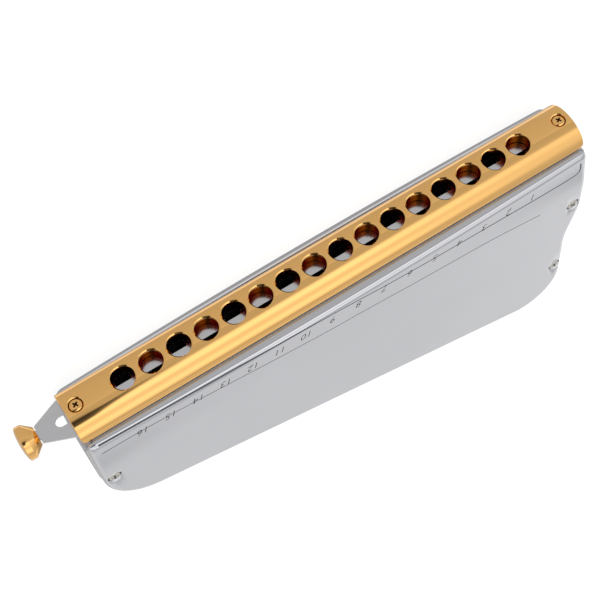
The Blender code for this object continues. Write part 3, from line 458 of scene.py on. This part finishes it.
def mouthpiece():
    bm = bmesh.new()
    upright = Matrix.Translation((0, MOUTH_DEPTH, 0)) @ Matrix.Diagonal((1, MOUTH_DEPTH, MOUTH_HALF_HEIGHT, 1))
    bmesh.ops.create_circle(bm, cap_ends=True, segments=168, radius=1,
                            matrix=upright @ Matrix.Rotation(math.pi / 2, 4, "Y"))
    bmesh.ops.bisect_plane(bm, geom=bm.verts[:] + bm.edges[:] + bm.faces[:], plane_co=(0, MOUTH_DEPTH, 0),
                           plane_no=(0, 1, 0), clear_outer=True)
    bmesh.ops.translate(bm, verts=bm.verts, vec=(-MOUTH_HALF_LENGTH, 0, 0))
    made = bmesh.ops.extrude_face_region(bm, geom=bm.faces[:])["geom"]
    bmesh.ops.translate(bm, verts=[v for v in made if isinstance(v, bmesh.types.BMVert)],
                        vec=(2 * MOUTH_HALF_LENGTH, 0, 0))
    bmesh.ops.recalc_face_normals(bm, faces=bm.faces)
    # The edges round both ends, but for the straight ones at the back.
    ends = [edge for edge in bm.edges if sorted(round(abs(f.normal.x), 3) for f in edge.link_faces) == [0, 1]
            and all(f.normal.y < 0.9 for f in edge.link_faces)]
    bmesh.ops.bevel(bm, geom=ends, offset=0.35, offset_type="OFFSET", segments=3, profile=0.5, affect="EDGES",
                    clamp_overlap=False, material=-1)
    bar = settled("mouthpiece_plated", bm, BAR_CREASE)

    end = MOUTH_HALF_LENGTH
    plan = ((-end, -7, 0.3), (end, -7, 0.3), (end, 7.6, 3), (-end, 7.6, 3))
    cut(bar, BAR_CREASE, keep=shapes((rounded, plan, "z", -10, 10)))
    # The channel for the slide, open at the button's end.
    low = (-end + MOUTH_END_WALL, CHANNEL_FRONT_Y, -CHANNEL_HALF_HEIGHT)
    cut(bar, BAR_CREASE, away=shapes((box, low, (98, 14, CHANNEL_HALF_HEIGHT))))
    tools = bmesh.new()
    # Each hole's lip follows the curved front, so that its width is even all round.
    lip = ((0, -3.5), (HOLE_RADIUS + 0.95, -3.5), (HOLE_RADIUS + 0.95, -0.45), (HOLE_RADIUS + 0.5, 0.0),
           (HOLE_RADIUS + 0.12, 0.38), (HOLE_RADIUS + 0.02, 0.6), (HOLE_RADIUS, LIP_DEPTH), (HOLE_RADIUS, 4.9),
           (0, 4.9))
    for number in HOLE_NUMBERS:
        turned(tools, lip, "y", (hole_x(number), 0, 0))
    sink = ((0, -3.5), (2.95, -3.5), (2.95, -0.3), (2.55, 0.05), (2.3, 0.28), (2.2, 0.85), (1.5, 1.75), (1.4, 4.9),
            (0, 4.9))
    for x in (-MOUTH_SCREW_X, MOUTH_SCREW_X):
        turned(tools, sink, "y", (x, 0, 0))
    for vert in tools.verts:
        vert.co.y += front_depth(vert.co.z)
    cut(bar, BAR_CREASE, away=tools)
    fitted(bar, GOLD, "instrument", "mouthpiece")
    # The bores' walls take the dark gold as painted shade.
    mark(bar, PAINTED_SHADE_GOLD, in_bore)


def mouthpiece_screws():
    head = ((0, -0.01), (0.65, 0.01), (1.2, 0.1), (1.65, 0.26), (1.93, 0.48), (2.0, 0.72), (2.0, 0.85), (1.1, 1.5),
            (1.1, 13.6), (0.95, 13.75), (0, 13.75))
    for side, x in (("left", -MOUTH_SCREW_X), ("right", MOUTH_SCREW_X)):
        screw = settled(f"mouthpiece_screw_{side}_plated", shapes((turned, head, "y", (x, 0, 0), 48)))
        for arms in ((0.36, 1.25), (1.25, 0.36)):
            cut(screw, away=shapes((recess, (x, 0, 0), "y", arms, -0.6, 0.95)))
        fitted(screw, GOLD, "instrument", f"mouthpiece_screw_{side}")
        # The cross recess takes the dark gold as painted shade.
        mark(screw, PAINTED_SHADE_GOLD, lambda place: 0.1 < place.y < 1.2 and math.hypot(place.x - x, place.z) < 1.35)


def recess(bm, centre, axis, arms, mouth, floor, turn=0.6):
    """One arm of a cross recess, narrower at its floor."""
    low, high = sorted((mouth, floor))
    box(bm, (-arms[0], -arms[1], low), (arms[0], arms[1], high))
    for vert in bm.verts:
        if abs(vert.co.z - floor) < 1e-6:
            vert.co.x *= 0.5
            vert.co.y *= 0.5
    place = Matrix.Identity(4) if axis == "z" else Matrix(((1, 0, 0, 0), (0, 0, 1, 0), (0, 1, 0, 0), (0, 0, 0, 1)))
    bmesh.ops.transform(bm, verts=bm.verts,
                        matrix=Matrix.Translation(Vector(centre)) @ place @ Matrix.Rotation(turn, 4, "Z"))
    bmesh.ops.recalc_face_normals(bm, faces=bm.faces)


def slide():
    end, shoulder, neck, tab = -83.25, 91.2, 100.2, 103.8
    outline = ((end, -6.8, 0.4), (shoulder, -6.8, 0.8), (neck, -3.05, 0.4), (neck, -1.6, 0.2), (tab, -1.6, 0.3),
               (tab, 1.6, 0.3), (neck, 1.6, 0.2), (neck, 3.05, 0.4), (shoulder, 6.8, 0.8), (end, 6.8, 0.4))
    blade = settled("slide_brushed", shapes((rounded, outline, "y", SLIDE_FRONT_Y, SLIDE_BACK_Y, 5)))
    tools = bmesh.new()
    front, back = SLIDE_FRONT_Y - 0.3, SLIDE_BACK_Y + 0.3
    # One window to each hole, above and below the middle in turn.
    for number in HOLE_NUMBERS:
        x, side = hole_x(number) - 0.6, 1 if number % 2 else -1
        low, high = sorted((side * 0.48, side * 3.88))
        rounded(tools, rectangle(x - 4.1, x + 4.1, low, high, 0.7), "y", front, back, 4)
    # The slots round the mouthpiece's screws, the near one of which shows as the round hole in the neck.
    for left, right in ((85.5, 94.5), (-88, -79.3)):
        rounded(tools, rectangle(left, right, -1.65, 1.65, 1.6), "y", front, back, 10)
    # The hole that holds the spring's tip.
    turned(tools, ((0, front), (0.6, front), (0.6, back), (0, back)), "y", (-80.5, 0, 4.6), 24)
    cut(blade, away=tools)
    fitted(blade, SLIDE_STEEL, "slide_and_button", "slide")


def slide_button():
    back, rim, face = BUTTON_BACK_X, BUTTON_BACK_X + 3.0, BUTTON_BACK_X + 4.75
    radius, dome = 5.5, 1.1
    profile = [(0, back), (2.9, back), (3.1, back + 0.15), (5.35, rim - 0.2), (radius, rim + 0.1),
               (radius, face - 0.1)]
    profile += [(radius * math.cos(a), face + dome * math.sin(a))
                for a in (math.radians(10 * step) for step in range(1, 9))]
    profile.append((0, face + dome))
    button = settled("slide_button_plated", shapes((turned, profile, "x", (0, SLIDE_MID_Y, 0), 72)), BUTTON_CREASE)
    tab = shapes((box, (back - 0.3, SLIDE_FRONT_Y - 0.3, -1.9), (back + 3.6, SLIDE_BACK_Y + 0.3, 1.9)))
    cut(button, BUTTON_CREASE, away=tab)
    fitted(button, GOLD, "slide_and_button", "slide_button")


# The covers


def cover(side):
    """The top cover, or for side -1 the bottom one, which is the same sheet turned over."""
    word = "top" if side > 0 else "bottom"
    shell = settled(f"{word}_cover_plated", cover_face(side))
    sheet = shell.modifiers.new("sheet", "SOLIDIFY")
    sheet.thickness, sheet.offset, sheet.use_even_offset = COVER_SHEET * 0.001, -1, True
    bake(shell)
    if side < 0:
        soften_rim(shell)
    press_dimples(shell, side)
    open_vent(shell, side)
    if side > 0:
        for places, radius in zip(PAINTED_REFLECTION_GROOVES, LINE_RADII):
            cut(shell, away=line_tool(places, radius, -0.01))
        # One number at a time, because figures that turn out inside out spoil a shared tool.
        for number in HOLE_NUMBERS:
            cut(shell, away=number_tool(number))
    fitted(shell, CHROME, "instrument", f"{word}_cover")
    # The numbers are etched dark grey; the fine lines take the same dark grey as a painted reflection.
    if side > 0:
        mark(shell, ETCHED_AND_PAINTED_SHADE, in_groove)


def cover_face(side):
    """The outer face of a cover: its wall, its round shoulder and its panel, arched along the front."""
    bm = bmesh.new()
    rim = fillet_loop(bm, COVER_CORNERS, 20)
    bmesh.ops.translate(bm, verts=bm.verts, vec=(0, 0, COVER_RIM))
    open_rim = list(bm.verts)
    wall_top = COVER_TOP - SHOULDER
    for low, high in ((COVER_RIM, COVER_RIM + RIM_LEAN), (COVER_RIM + RIM_LEAN, wall_top)):
        made = bmesh.ops.extrude_edge_only(bm, edges=rim)["geom"]
        rim = [edge for edge in made if isinstance(edge, bmesh.types.BMEdge)]
        raised = [vert for vert in made if isinstance(vert, bmesh.types.BMVert)]
        bmesh.ops.translate(bm, verts=raised, vec=(0, 0, high - low))
    if side < 0:
        # The bottom cover's front edge leans back under the mouthpiece and shows there as a bright line.
        for vert in open_rim:
            vert.co.y = max(vert.co.y, COVER_CORNERS[0][1] + RIM_LEAN)
    top = bmesh.ops.contextual_create(bm, geom=rim)["faces"][0]
    for step in range(1, SHOULDER_STEPS + 1):
        before, now = (math.pi / 2 * s / SHOULDER_STEPS for s in (step - 1, step))
        bmesh.ops.inset_region(bm, faces=[top], thickness=SHOULDER * (math.cos(before) - math.cos(now)),
                               use_even_offset=True)
        bmesh.ops.translate(bm, verts=top.verts[:], vec=(0, 0, SHOULDER * (math.sin(now) - math.sin(before))))
    # A narrow level ring keeps the shoulder's shading off the panel.
    bmesh.ops.inset_region(bm, faces=[top], thickness=0.5, use_even_offset=True)
    # Rows of vertices for the arch to bend, close together where it fades into the level panel.
    rows = [((x, 0, 0), (1, 0, 0)) for x in range(-88, 89, 4)]
    rows += [((0, 11 + 1.4 * step, 0), (0, 1, 0)) for step in range(12)]
    rows += [((0, y, 0), (0, 1, 0)) for y in (32, 40, 50, 60, 70, 80)]
    for place, normal in rows:
        bmesh.ops.bisect_plane(bm, geom=bm.verts[:] + bm.edges[:] + bm.faces[:], plane_co=place, plane_no=normal)
    for vert in bm.verts:
        share = min((vert.co.z - COVER_RIM) / (wall_top - COVER_RIM), 1)
        vert.co.z -= panel_drop(vert.co.x, vert.co.y) * share
    bmesh.ops.recalc_face_normals(bm, faces=bm.faces)
    # Open as it is, the face may have been turned inwards.
    if max(bm.faces, key=lambda face: face.calc_area()).normal.z < 0:
        bmesh.ops.reverse_faces(bm, faces=bm.faces)
    if side < 0:
        bmesh.ops.scale(bm, verts=bm.verts, vec=(1, 1, -1))
        bmesh.ops.reverse_faces(bm, faces=bm.faces)
    return bm


def press_dimples(shell, side):
    """A dimple with a boss under it for each cover screw."""
    bosses, dimples = bmesh.new(), bmesh.new()
    for x, y in COVER_SCREWS:
        boss = ((0, 11.1), (2.7, 11.1), (2.75, 12.1), (2.2, 12.7), (0, 12.7))
        turned(bosses, [(r, side * z) for r, z in boss], "z", (x, y, 0), 48)
        # A rounded lip, a steep wall and a level floor with the screw's hole.
        dimple = ((0, 9.5), (1.2, 9.5), (1.2, DIMPLE_FLOOR), (2.15, DIMPLE_FLOOR), (2.25, 12.4), (2.4, 12.7),
                  (2.75, 12.95), (3.5, 13.3), (0, 13.3))
        turned(dimples, [(r, side * z) for r, z in dimple], "z", (x, y, 0), 48)
    cut(shell, join=bosses)
    cut(shell, away=dimples)


def open_vent(shell, side):
    """The long opening in the wall along the slanting back, through which the sound leaves."""
    near, far = (Vector(corner[:2]) for corner in COVER_CORNERS[1:3])
    along = (far - near).normalized()
    across = Vector((along.y, -along.x)) * VENT_REACH
    near, far = near + along * VENT_MARGIN, far - along * VENT_MARGIN
    low, high = sorted((side * (COVER_RIM - 0.05), side * VENT_TOP))
    corners = [(*place, 0.2) for place in (near - across, near + across, far + across, far - across)]
    cut(shell, away=shapes((rounded, corners, "z", low, high, 2)))


def soften_rim(shell):
    """Rounds the outer edge of the bottom cover's open rim, which catches the light as a fine line."""
    bm = bmesh.new()
    bm.from_mesh(shell.data)
    bm.transform(ON_TABLE.inverted())
    edges = [edge for edge in bm.edges if edge.calc_face_angle(0) > 1.2
             and all(abs(vert.co.z + COVER_RIM) < 0.01 for vert in edge.verts)
             and any(abs(face.normal.z) < 0.5 and not inside_covers(*(edge.verts[0].co + face.normal * 0.3).xy)
                     for face in edge.link_faces)]
    bmesh.ops.bevel(bm, geom=edges, offset=0.6, offset_type="OFFSET", segments=3, profile=0.5, affect="EDGES",
                    clamp_overlap=False, material=-1)
    bm.transform(ON_TABLE)
    bm.to_mesh(shell.data)
    bm.free()
    smooth(shell.data)


def in_groove(place):
    """Whether a place on the top cover is in an etched number or in a fine line painted dark as a reflection, and so
    just below its face.
    """
    # The shoulders at the ends and along the front lie below the panel's height too, and are left out.
    if not -88.8 < place.x < 87.8 or abs(place.x) > 87.2 and place.y < 10.9 or not 7.9 < place.y < 28:
        return False
    dimpled = any(math.hypot(place.x - x, place.y - y) < 4 for x, y in COVER_SCREWS)
    return not dimpled and 0.02 < panel_z(place.x, place.y) - place.z < 0.3


def curve_bmesh(curve):
    """A bmesh of a curve or a text."""
    drawn = bpy.data.objects.new(curve.name, curve)
    bpy.context.scene.collection.objects.link(drawn)
    mesh = bpy.data.meshes.new_from_object(drawn.evaluated_get(bpy.context.evaluated_depsgraph_get()))
    bpy.data.objects.remove(drawn)
    bm = bmesh.new()
    bm.from_mesh(mesh)
    bmesh.ops.remove_doubles(bm, verts=bm.verts, dist=SAME_PLACE)
    return bm


def number_tool(number):
    """The number over a hole, as a solid that cuts 0.15 mm into the cover's arch."""
    curve = bpy.data.curves.new("number", "FONT")
    curve.body = str(number)
    curve.size, curve.extrude, curve.shear, curve.resolution_u, curve.offset = 4.2, 0.15, 0.3, 3, -0.05
    curve.align_x, curve.align_y = "CENTER", "CENTER"
    bm = curve_bmesh(curve)
    bm.transform(Matrix.Translation((hole_x(number) + NUMBERS_SHIFT, NUMBERS_Y, COVER_TOP)))
    for vert in bm.verts:
        vert.co.z -= panel_drop(vert.co.x, vert.co.y)
    return bm


def line_tool(places, radius, sink):
    """A thin rod along places on the panel, which cuts a fine groove."""
    curve = bpy.data.curves.new("line", "CURVE")
    curve.dimensions, curve.bevel_depth, curve.bevel_resolution, curve.use_fill_caps = "3D", radius, 1, True
    spline = curve.splines.new("NURBS")
    spline.points.add(len(places) - 1)
    for point, (x, y) in zip(spline.points, places):
        point.co = (x, y, sink, 1)
    spline.use_endpoint_u, spline.order_u, spline.resolution_u = True, 3, 6
    bm = curve_bmesh(curve)
    for vert in bm.verts:
        vert.co.z += panel_z(vert.co.x, vert.co.y)
    return bm


def cover_screws():
    for number, (x, y) in enumerate(COVER_SCREWS, 1):
        head = ((0, -12.7), (0.75, -12.7), (0.9, -12.5), (0.9, 12.0), (1.95, 12.0), (1.95, 12.4), (1.75, 12.7),
                (1.3, 12.87), (0.7, 12.94), (0, 12.95))
        screw = settled(f"cover_screw_{number}_plated", shapes((turned, head, "z", (x, y, 0), 48)))
        for arms in ((1.45, 0.38), (0.38, 1.45)):
            cut(screw, away=shapes((recess, (x, y, 0), "z", arms, 13.2, 12.3, 0.5 + number)))
        fitted(screw, NICKEL, "instrument", f"cover_screw_{number}")
        # The cross recess takes the dark grey as painted shade.
        mark(screw, ETCHED_AND_PAINTED_SHADE, lambda place: 12.2 < place.z < 12.78 and math.hypot(place.x - x, place.y - y) < 1.45)
        ring = ((1.2, -12.0), (1.2, -12.6), (1.3, -12.7), (1.5, -12.7), (1.65, -12.55), (1.65, -12.0), (1.2, -12.0))
        nut = settled(f"cover_nut_{number}_plated", shapes((turned, ring, "z", (x, y, 0), 48)))
        fitted(nut, NICKEL, "instrument", f"cover_nut_{number}")


# The pieces inside, whose solids stay


def inside_covers(x, y):
    """Whether a point lies within the covers' outline, rounded corners left aside."""
    corners = [corner[:2] for corner in COVER_CORNERS]
    inside = False
    for (ax, ay), (bx, by) in zip(corners, corners[1:] + corners[:1]):
        if (ay > y) != (by > y) and x < ax + (y - ay) / (by - ay) * (bx - ax):
            inside = not inside
    return inside


def edged(node, body, edge):
    """Gives a solid one finish, and another one on the edge that shows between the covers."""
    node.data.materials.clear()
    node.data.materials.append(body)
    node.data.materials.append(edge)
    off_table = ON_TABLE.inverted()
    for face in node.data.polygons:
        place = off_table @ face.center
        upright = abs(face.normal.z) < 0.1 and place.y > MOUTH_DEPTH - 0.1
        # A point this far out of an outer face lies outside, at the round corners too.
        beyond = place.xy + Vector(face.normal[:2]) * 9
        flange = node.name == "comb" and abs(place.z) > COVER_RIM - 0.1
        face.material_index = int(upright and not inside_covers(*beyond) or flange)


def inner_pieces():
    """The finishes of the solids that stay in view as they are."""
    edged(NODES["comb"], BLACK_ABS, SILVER_RIM)
    for name in ("upper_reed_plate", "lower_reed_plate"):
        edged(NODES[name], BRASS, NICKEL)
    for name, node in NODES.items():
        if "reed_plate_screw" in name:
            look = NICKEL
        elif name == "slide_back_plate":
            look = SLIDE_STEEL
        elif name in ("slide_spring", "spring_pin"):
            look = SPRING_STEEL
        else:
            continue
        node.data.materials.clear()
        node.data.materials.append(look)


mouthpiece()
mouthpiece_screws()
slide()
slide_button()
cover(1)
cover(-1)
cover_screws()
inner_pieces()


# The studio: a white table, a white surround and soft lamps


def seen_directly(tree):
    """1 for what the camera, a reflection or a clear material sees, 0 for the light on diffuse surfaces."""
    path = add(tree, "ShaderNodeLightPath", {})
    first = add(tree, "ShaderNodeMath", {"operation": "MAXIMUM", 0: path.outputs["Is Camera Ray"],
                                         1: path.outputs["Is Glossy Ray"]})
    both = add(tree, "ShaderNodeMath", {"operation": "MAXIMUM", 0: first.outputs[0],
                                        1: path.outputs["Is Transmission Ray"]})
    return both.outputs[0]


def flat_card(name, finish, low, high, height, settings):
    """A matt card between two corners, at this height in metres, with its tree and its shader."""
    bm = bmesh.new()
    bmesh.ops.create_grid(bm, x_segments=1, y_segments=1, size=0.5)
    middle, size = (Vector(low) + Vector(high)) / 2, Vector(high) - Vector(low)
    bm.transform(Matrix.Translation((*middle, height)) @ Matrix.Diagonal((*size, 1, 1)))
    mesh = bpy.data.meshes.new(name)
    bm.to_mesh(mesh)
    bm.free()
    card = bpy.data.objects.new(name, mesh)
    bpy.context.scene.collection.objects.link(card)
    material = bpy.data.materials.new(finish)
    material.use_nodes = True
    tree = material.node_tree
    shader = tree.nodes["Principled BSDF"]
    for key, value in {"Roughness": 0.9, "Emission Color": (1, 1, 1, 1), **settings}.items():
        shader.inputs[key].default_value = value
    mesh.materials.append(material)
    return card, tree, shader


def table():
    """Seen directly it is as white as the surround, and lit it takes the instrument's shadow."""
    settings = {"Base Color": linear("9A9A9A"), "Specular IOR Level": 0.1}
    card, tree, shader = flat_card("table", "white_card", (-4, -4), (4, 4), -0.0002, settings)
    seen = add(tree, "ShaderNodeMath", {"operation": "MULTIPLY", 0: seen_directly(tree), 1: 0.85})
    feed(tree, shader, {"Emission Strength": seen.outputs[0]})


def grey_card(name, front, back):
    """A grey card on the table, seen in reflections only: it gives the metals their depth."""
    settings = {"Base Color": linear("808080"), "Emission Strength": 0.44}
    card, _, _ = flat_card(name, "grey_card", (-1.2, front), (0.8, back), 0.0001, settings)
    card.visible_camera = card.visible_diffuse = card.visible_shadow = card.visible_transmission = False


# How bright the room looks in the metals, by degrees from the front horizon over the top to the back one
ROOM_NEAR = ((0, 0.6), (19, 0.58), (25, 0.6), (31, 1.5), (44, 1.55), (54, 0.95), (67, 1.1), (80, 1.5), (94, 1.2),
             (107, 0.45), (122, 0.85), (138, 0.7), (148, 0.9), (180, 0.92))
ROOM_FAR = ((0, 0.6), (25, 0.6), (32, 1.1), (44, 1.15), (56, 1.0), (67, 0.98), (80, 0.9), (94, 0.78), (108, 0.72),
            (122, 0.65), (138, 0.5), (148, 1.08), (180, 1.1))


def surround():
    """White to the eye and a soft light on what is matt, but a room of lamps and greys in the metals."""
    world = bpy.data.worlds.new("white_surround")
    bpy.context.scene.world = world
    world.use_nodes = True
    tree = world.node_tree
    sky = tree.nodes["Background"]
    sky.inputs["Color"].default_value = (1, 1, 1, 1)
    path = add(tree, "ShaderNodeLightPath", {})
    way = add(tree, "ShaderNodeSeparateXYZ", {"Vector": add(tree, "ShaderNodeTexCoord", {}).outputs["Generated"]})
    # From the front horizon over the top to the back one: the room's grey, the two lamps with the dark between
    # them and the ceiling, and the white wall behind.
    forward = add(tree, "ShaderNodeMath", {"operation": "MULTIPLY", 0: way.outputs["Y"], 1: -1.0})
    angle = add(tree, "ShaderNodeMath", {"operation": "ARCTAN2", 0: way.outputs["Z"], 1: forward.outputs[0]})
    degrees = add(tree, "ShaderNodeMath", {"operation": "DEGREES", 0: angle.outputs[0]})
    share = add(tree, "ShaderNodeMath", {"operation": "DIVIDE", 0: degrees.outputs[0], 1: 180.0})
    ramps = []
    for stops in (ROOM_FAR, ROOM_NEAR):
        ramp = add(tree, "ShaderNodeValToRGB", {"Fac": share.outputs[0]})
        ramp.color_ramp.interpolation = "B_SPLINE"
        while len(ramp.color_ramp.elements) < len(stops):
            ramp.color_ramp.elements.new(1)
        for stop, (place, bright) in zip(ramp.color_ramp.elements, stops):
            stop.position, stop.color = place / 180, (bright / 2, bright / 2, bright / 2, 1)
        ramps.append(ramp.outputs["Color"])
    end = add(tree, "ShaderNodeMapRange", {"Value": way.outputs["X"], "From Min": -0.64, "From Max": -0.24})
    both = add(tree, "ShaderNodeMix", {"data_type": "RGBA", 0: end.outputs["Result"], 6: ramps[0], 7: ramps[1]})
    # A dark stand by the button's end, taller towards it.
    near = add(tree, "ShaderNodeMapRange", {"Value": way.outputs["X"], "From Min": 0.05, "From Max": 0.2})
    cubed = add(tree, "ShaderNodeMath", {"operation": "POWER", 0: near.outputs["Result"], 1: 3.0})
    tall = add(tree, "ShaderNodeMath", {"operation": "MULTIPLY_ADD", 0: cubed.outputs[0], 1: -14.0,
                                        2: degrees.outputs[0]})
    low = add(tree, "ShaderNodeMapRange", {"interpolation_type": "SMOOTHSTEP", "Value": degrees.outputs[0],
                                           "From Min": 10.0, "From Max": 20.0})
    high = add(tree, "ShaderNodeMapRange", {"interpolation_type": "SMOOTHSTEP", "Value": tall.outputs[0],
                                            "From Min": 20.0, "From Max": 28.0, "To Min": 1.0, "To Max": 0.0})
    stand = add(tree, "ShaderNodeMath", {"operation": "MULTIPLY", 0: low.outputs["Result"],
                                         1: high.outputs["Result"]})
    shade = add(tree, "ShaderNodeMath", {"operation": "MULTIPLY", 0: stand.outputs[0], 1: near.outputs["Result"]})
    # The ramps hold half the brightness. It is doubled here, but for what the stand hides.
    left = add(tree, "ShaderNodeMapRange", {"Value": shade.outputs[0], "To Min": 2.0, "To Max": 0.15})
    room = add(tree, "ShaderNodeMath", {"operation": "MULTIPLY", 0: both.outputs[2], 1: left.outputs["Result"]})
    lit = add(tree, "ShaderNodeMapRange", {"Value": seen_directly(tree), "To Min": 0.3, "To Max": 1.0})
    level = add(tree, "ShaderNodeMix", {0: path.outputs["Is Glossy Ray"], 2: lit.outputs["Result"],
                                        3: room.outputs[0]})
    tree.links.new(level.outputs[0], sky.inputs["Strength"])


def softbox(name, place, aim, size, level):
    """A rectangular lamp whose face is as bright as this level of white."""
    lamp = bpy.data.lights.new(name, "AREA")
    lamp.shape, lamp.size, lamp.size_y = "RECTANGLE", *size
    lamp.energy = level * math.pi * size[0] * size[1]
    made = bpy.data.objects.new(name, lamp)
    made.location = place
    made.rotation_euler = (Vector(aim) - Vector(place)).to_track_quat("-Z", "Y").to_euler()
    made.visible_camera = made.visible_glossy = False
    bpy.context.scene.collection.objects.link(made)


def camera():
    """The photograph's view: the place and the three directions were fitted to its outline and its holes."""
    lens = bpy.data.cameras.new("camera")
    lens.sensor_width, lens.lens = 36, 82.8
    lens.clip_start, lens.clip_end = 0.01, 50
    made = bpy.data.objects.new("camera", lens)
    right, down, ahead = (-0.8407, 0.0630, 0.5378), (0.4993, 0.4748, 0.7248), (-0.2097, 0.8778, -0.4306)
    turn = Matrix((right, [-v for v in down], [-v for v in ahead])).transposed().to_4x4()
    made.matrix_world = Matrix.Translation((0.100797, -0.404316, 0.197265)) @ turn
    bpy.context.scene.collection.objects.link(made)
    bpy.context.scene.camera = made


table()
# Between the two cards a strip of the white table stays free under the mouthpiece.
grey_card("front_grey_card", -1.44, -0.042)
grey_card("rear_grey_card", -0.0392, 1.4)
surround()
softbox("front_softbox", (-0.3, -1.09, 0.71), (-0.3, 0, 0), (2.4, 0.72), 1.05)
softbox("overhead_softbox", (-0.3, -0.18, 1.29), (-0.3, 0, 0), (2.4, 1.75), 0.95)
camera()
bpy.context.scene.view_settings.view_transform = "Standard"
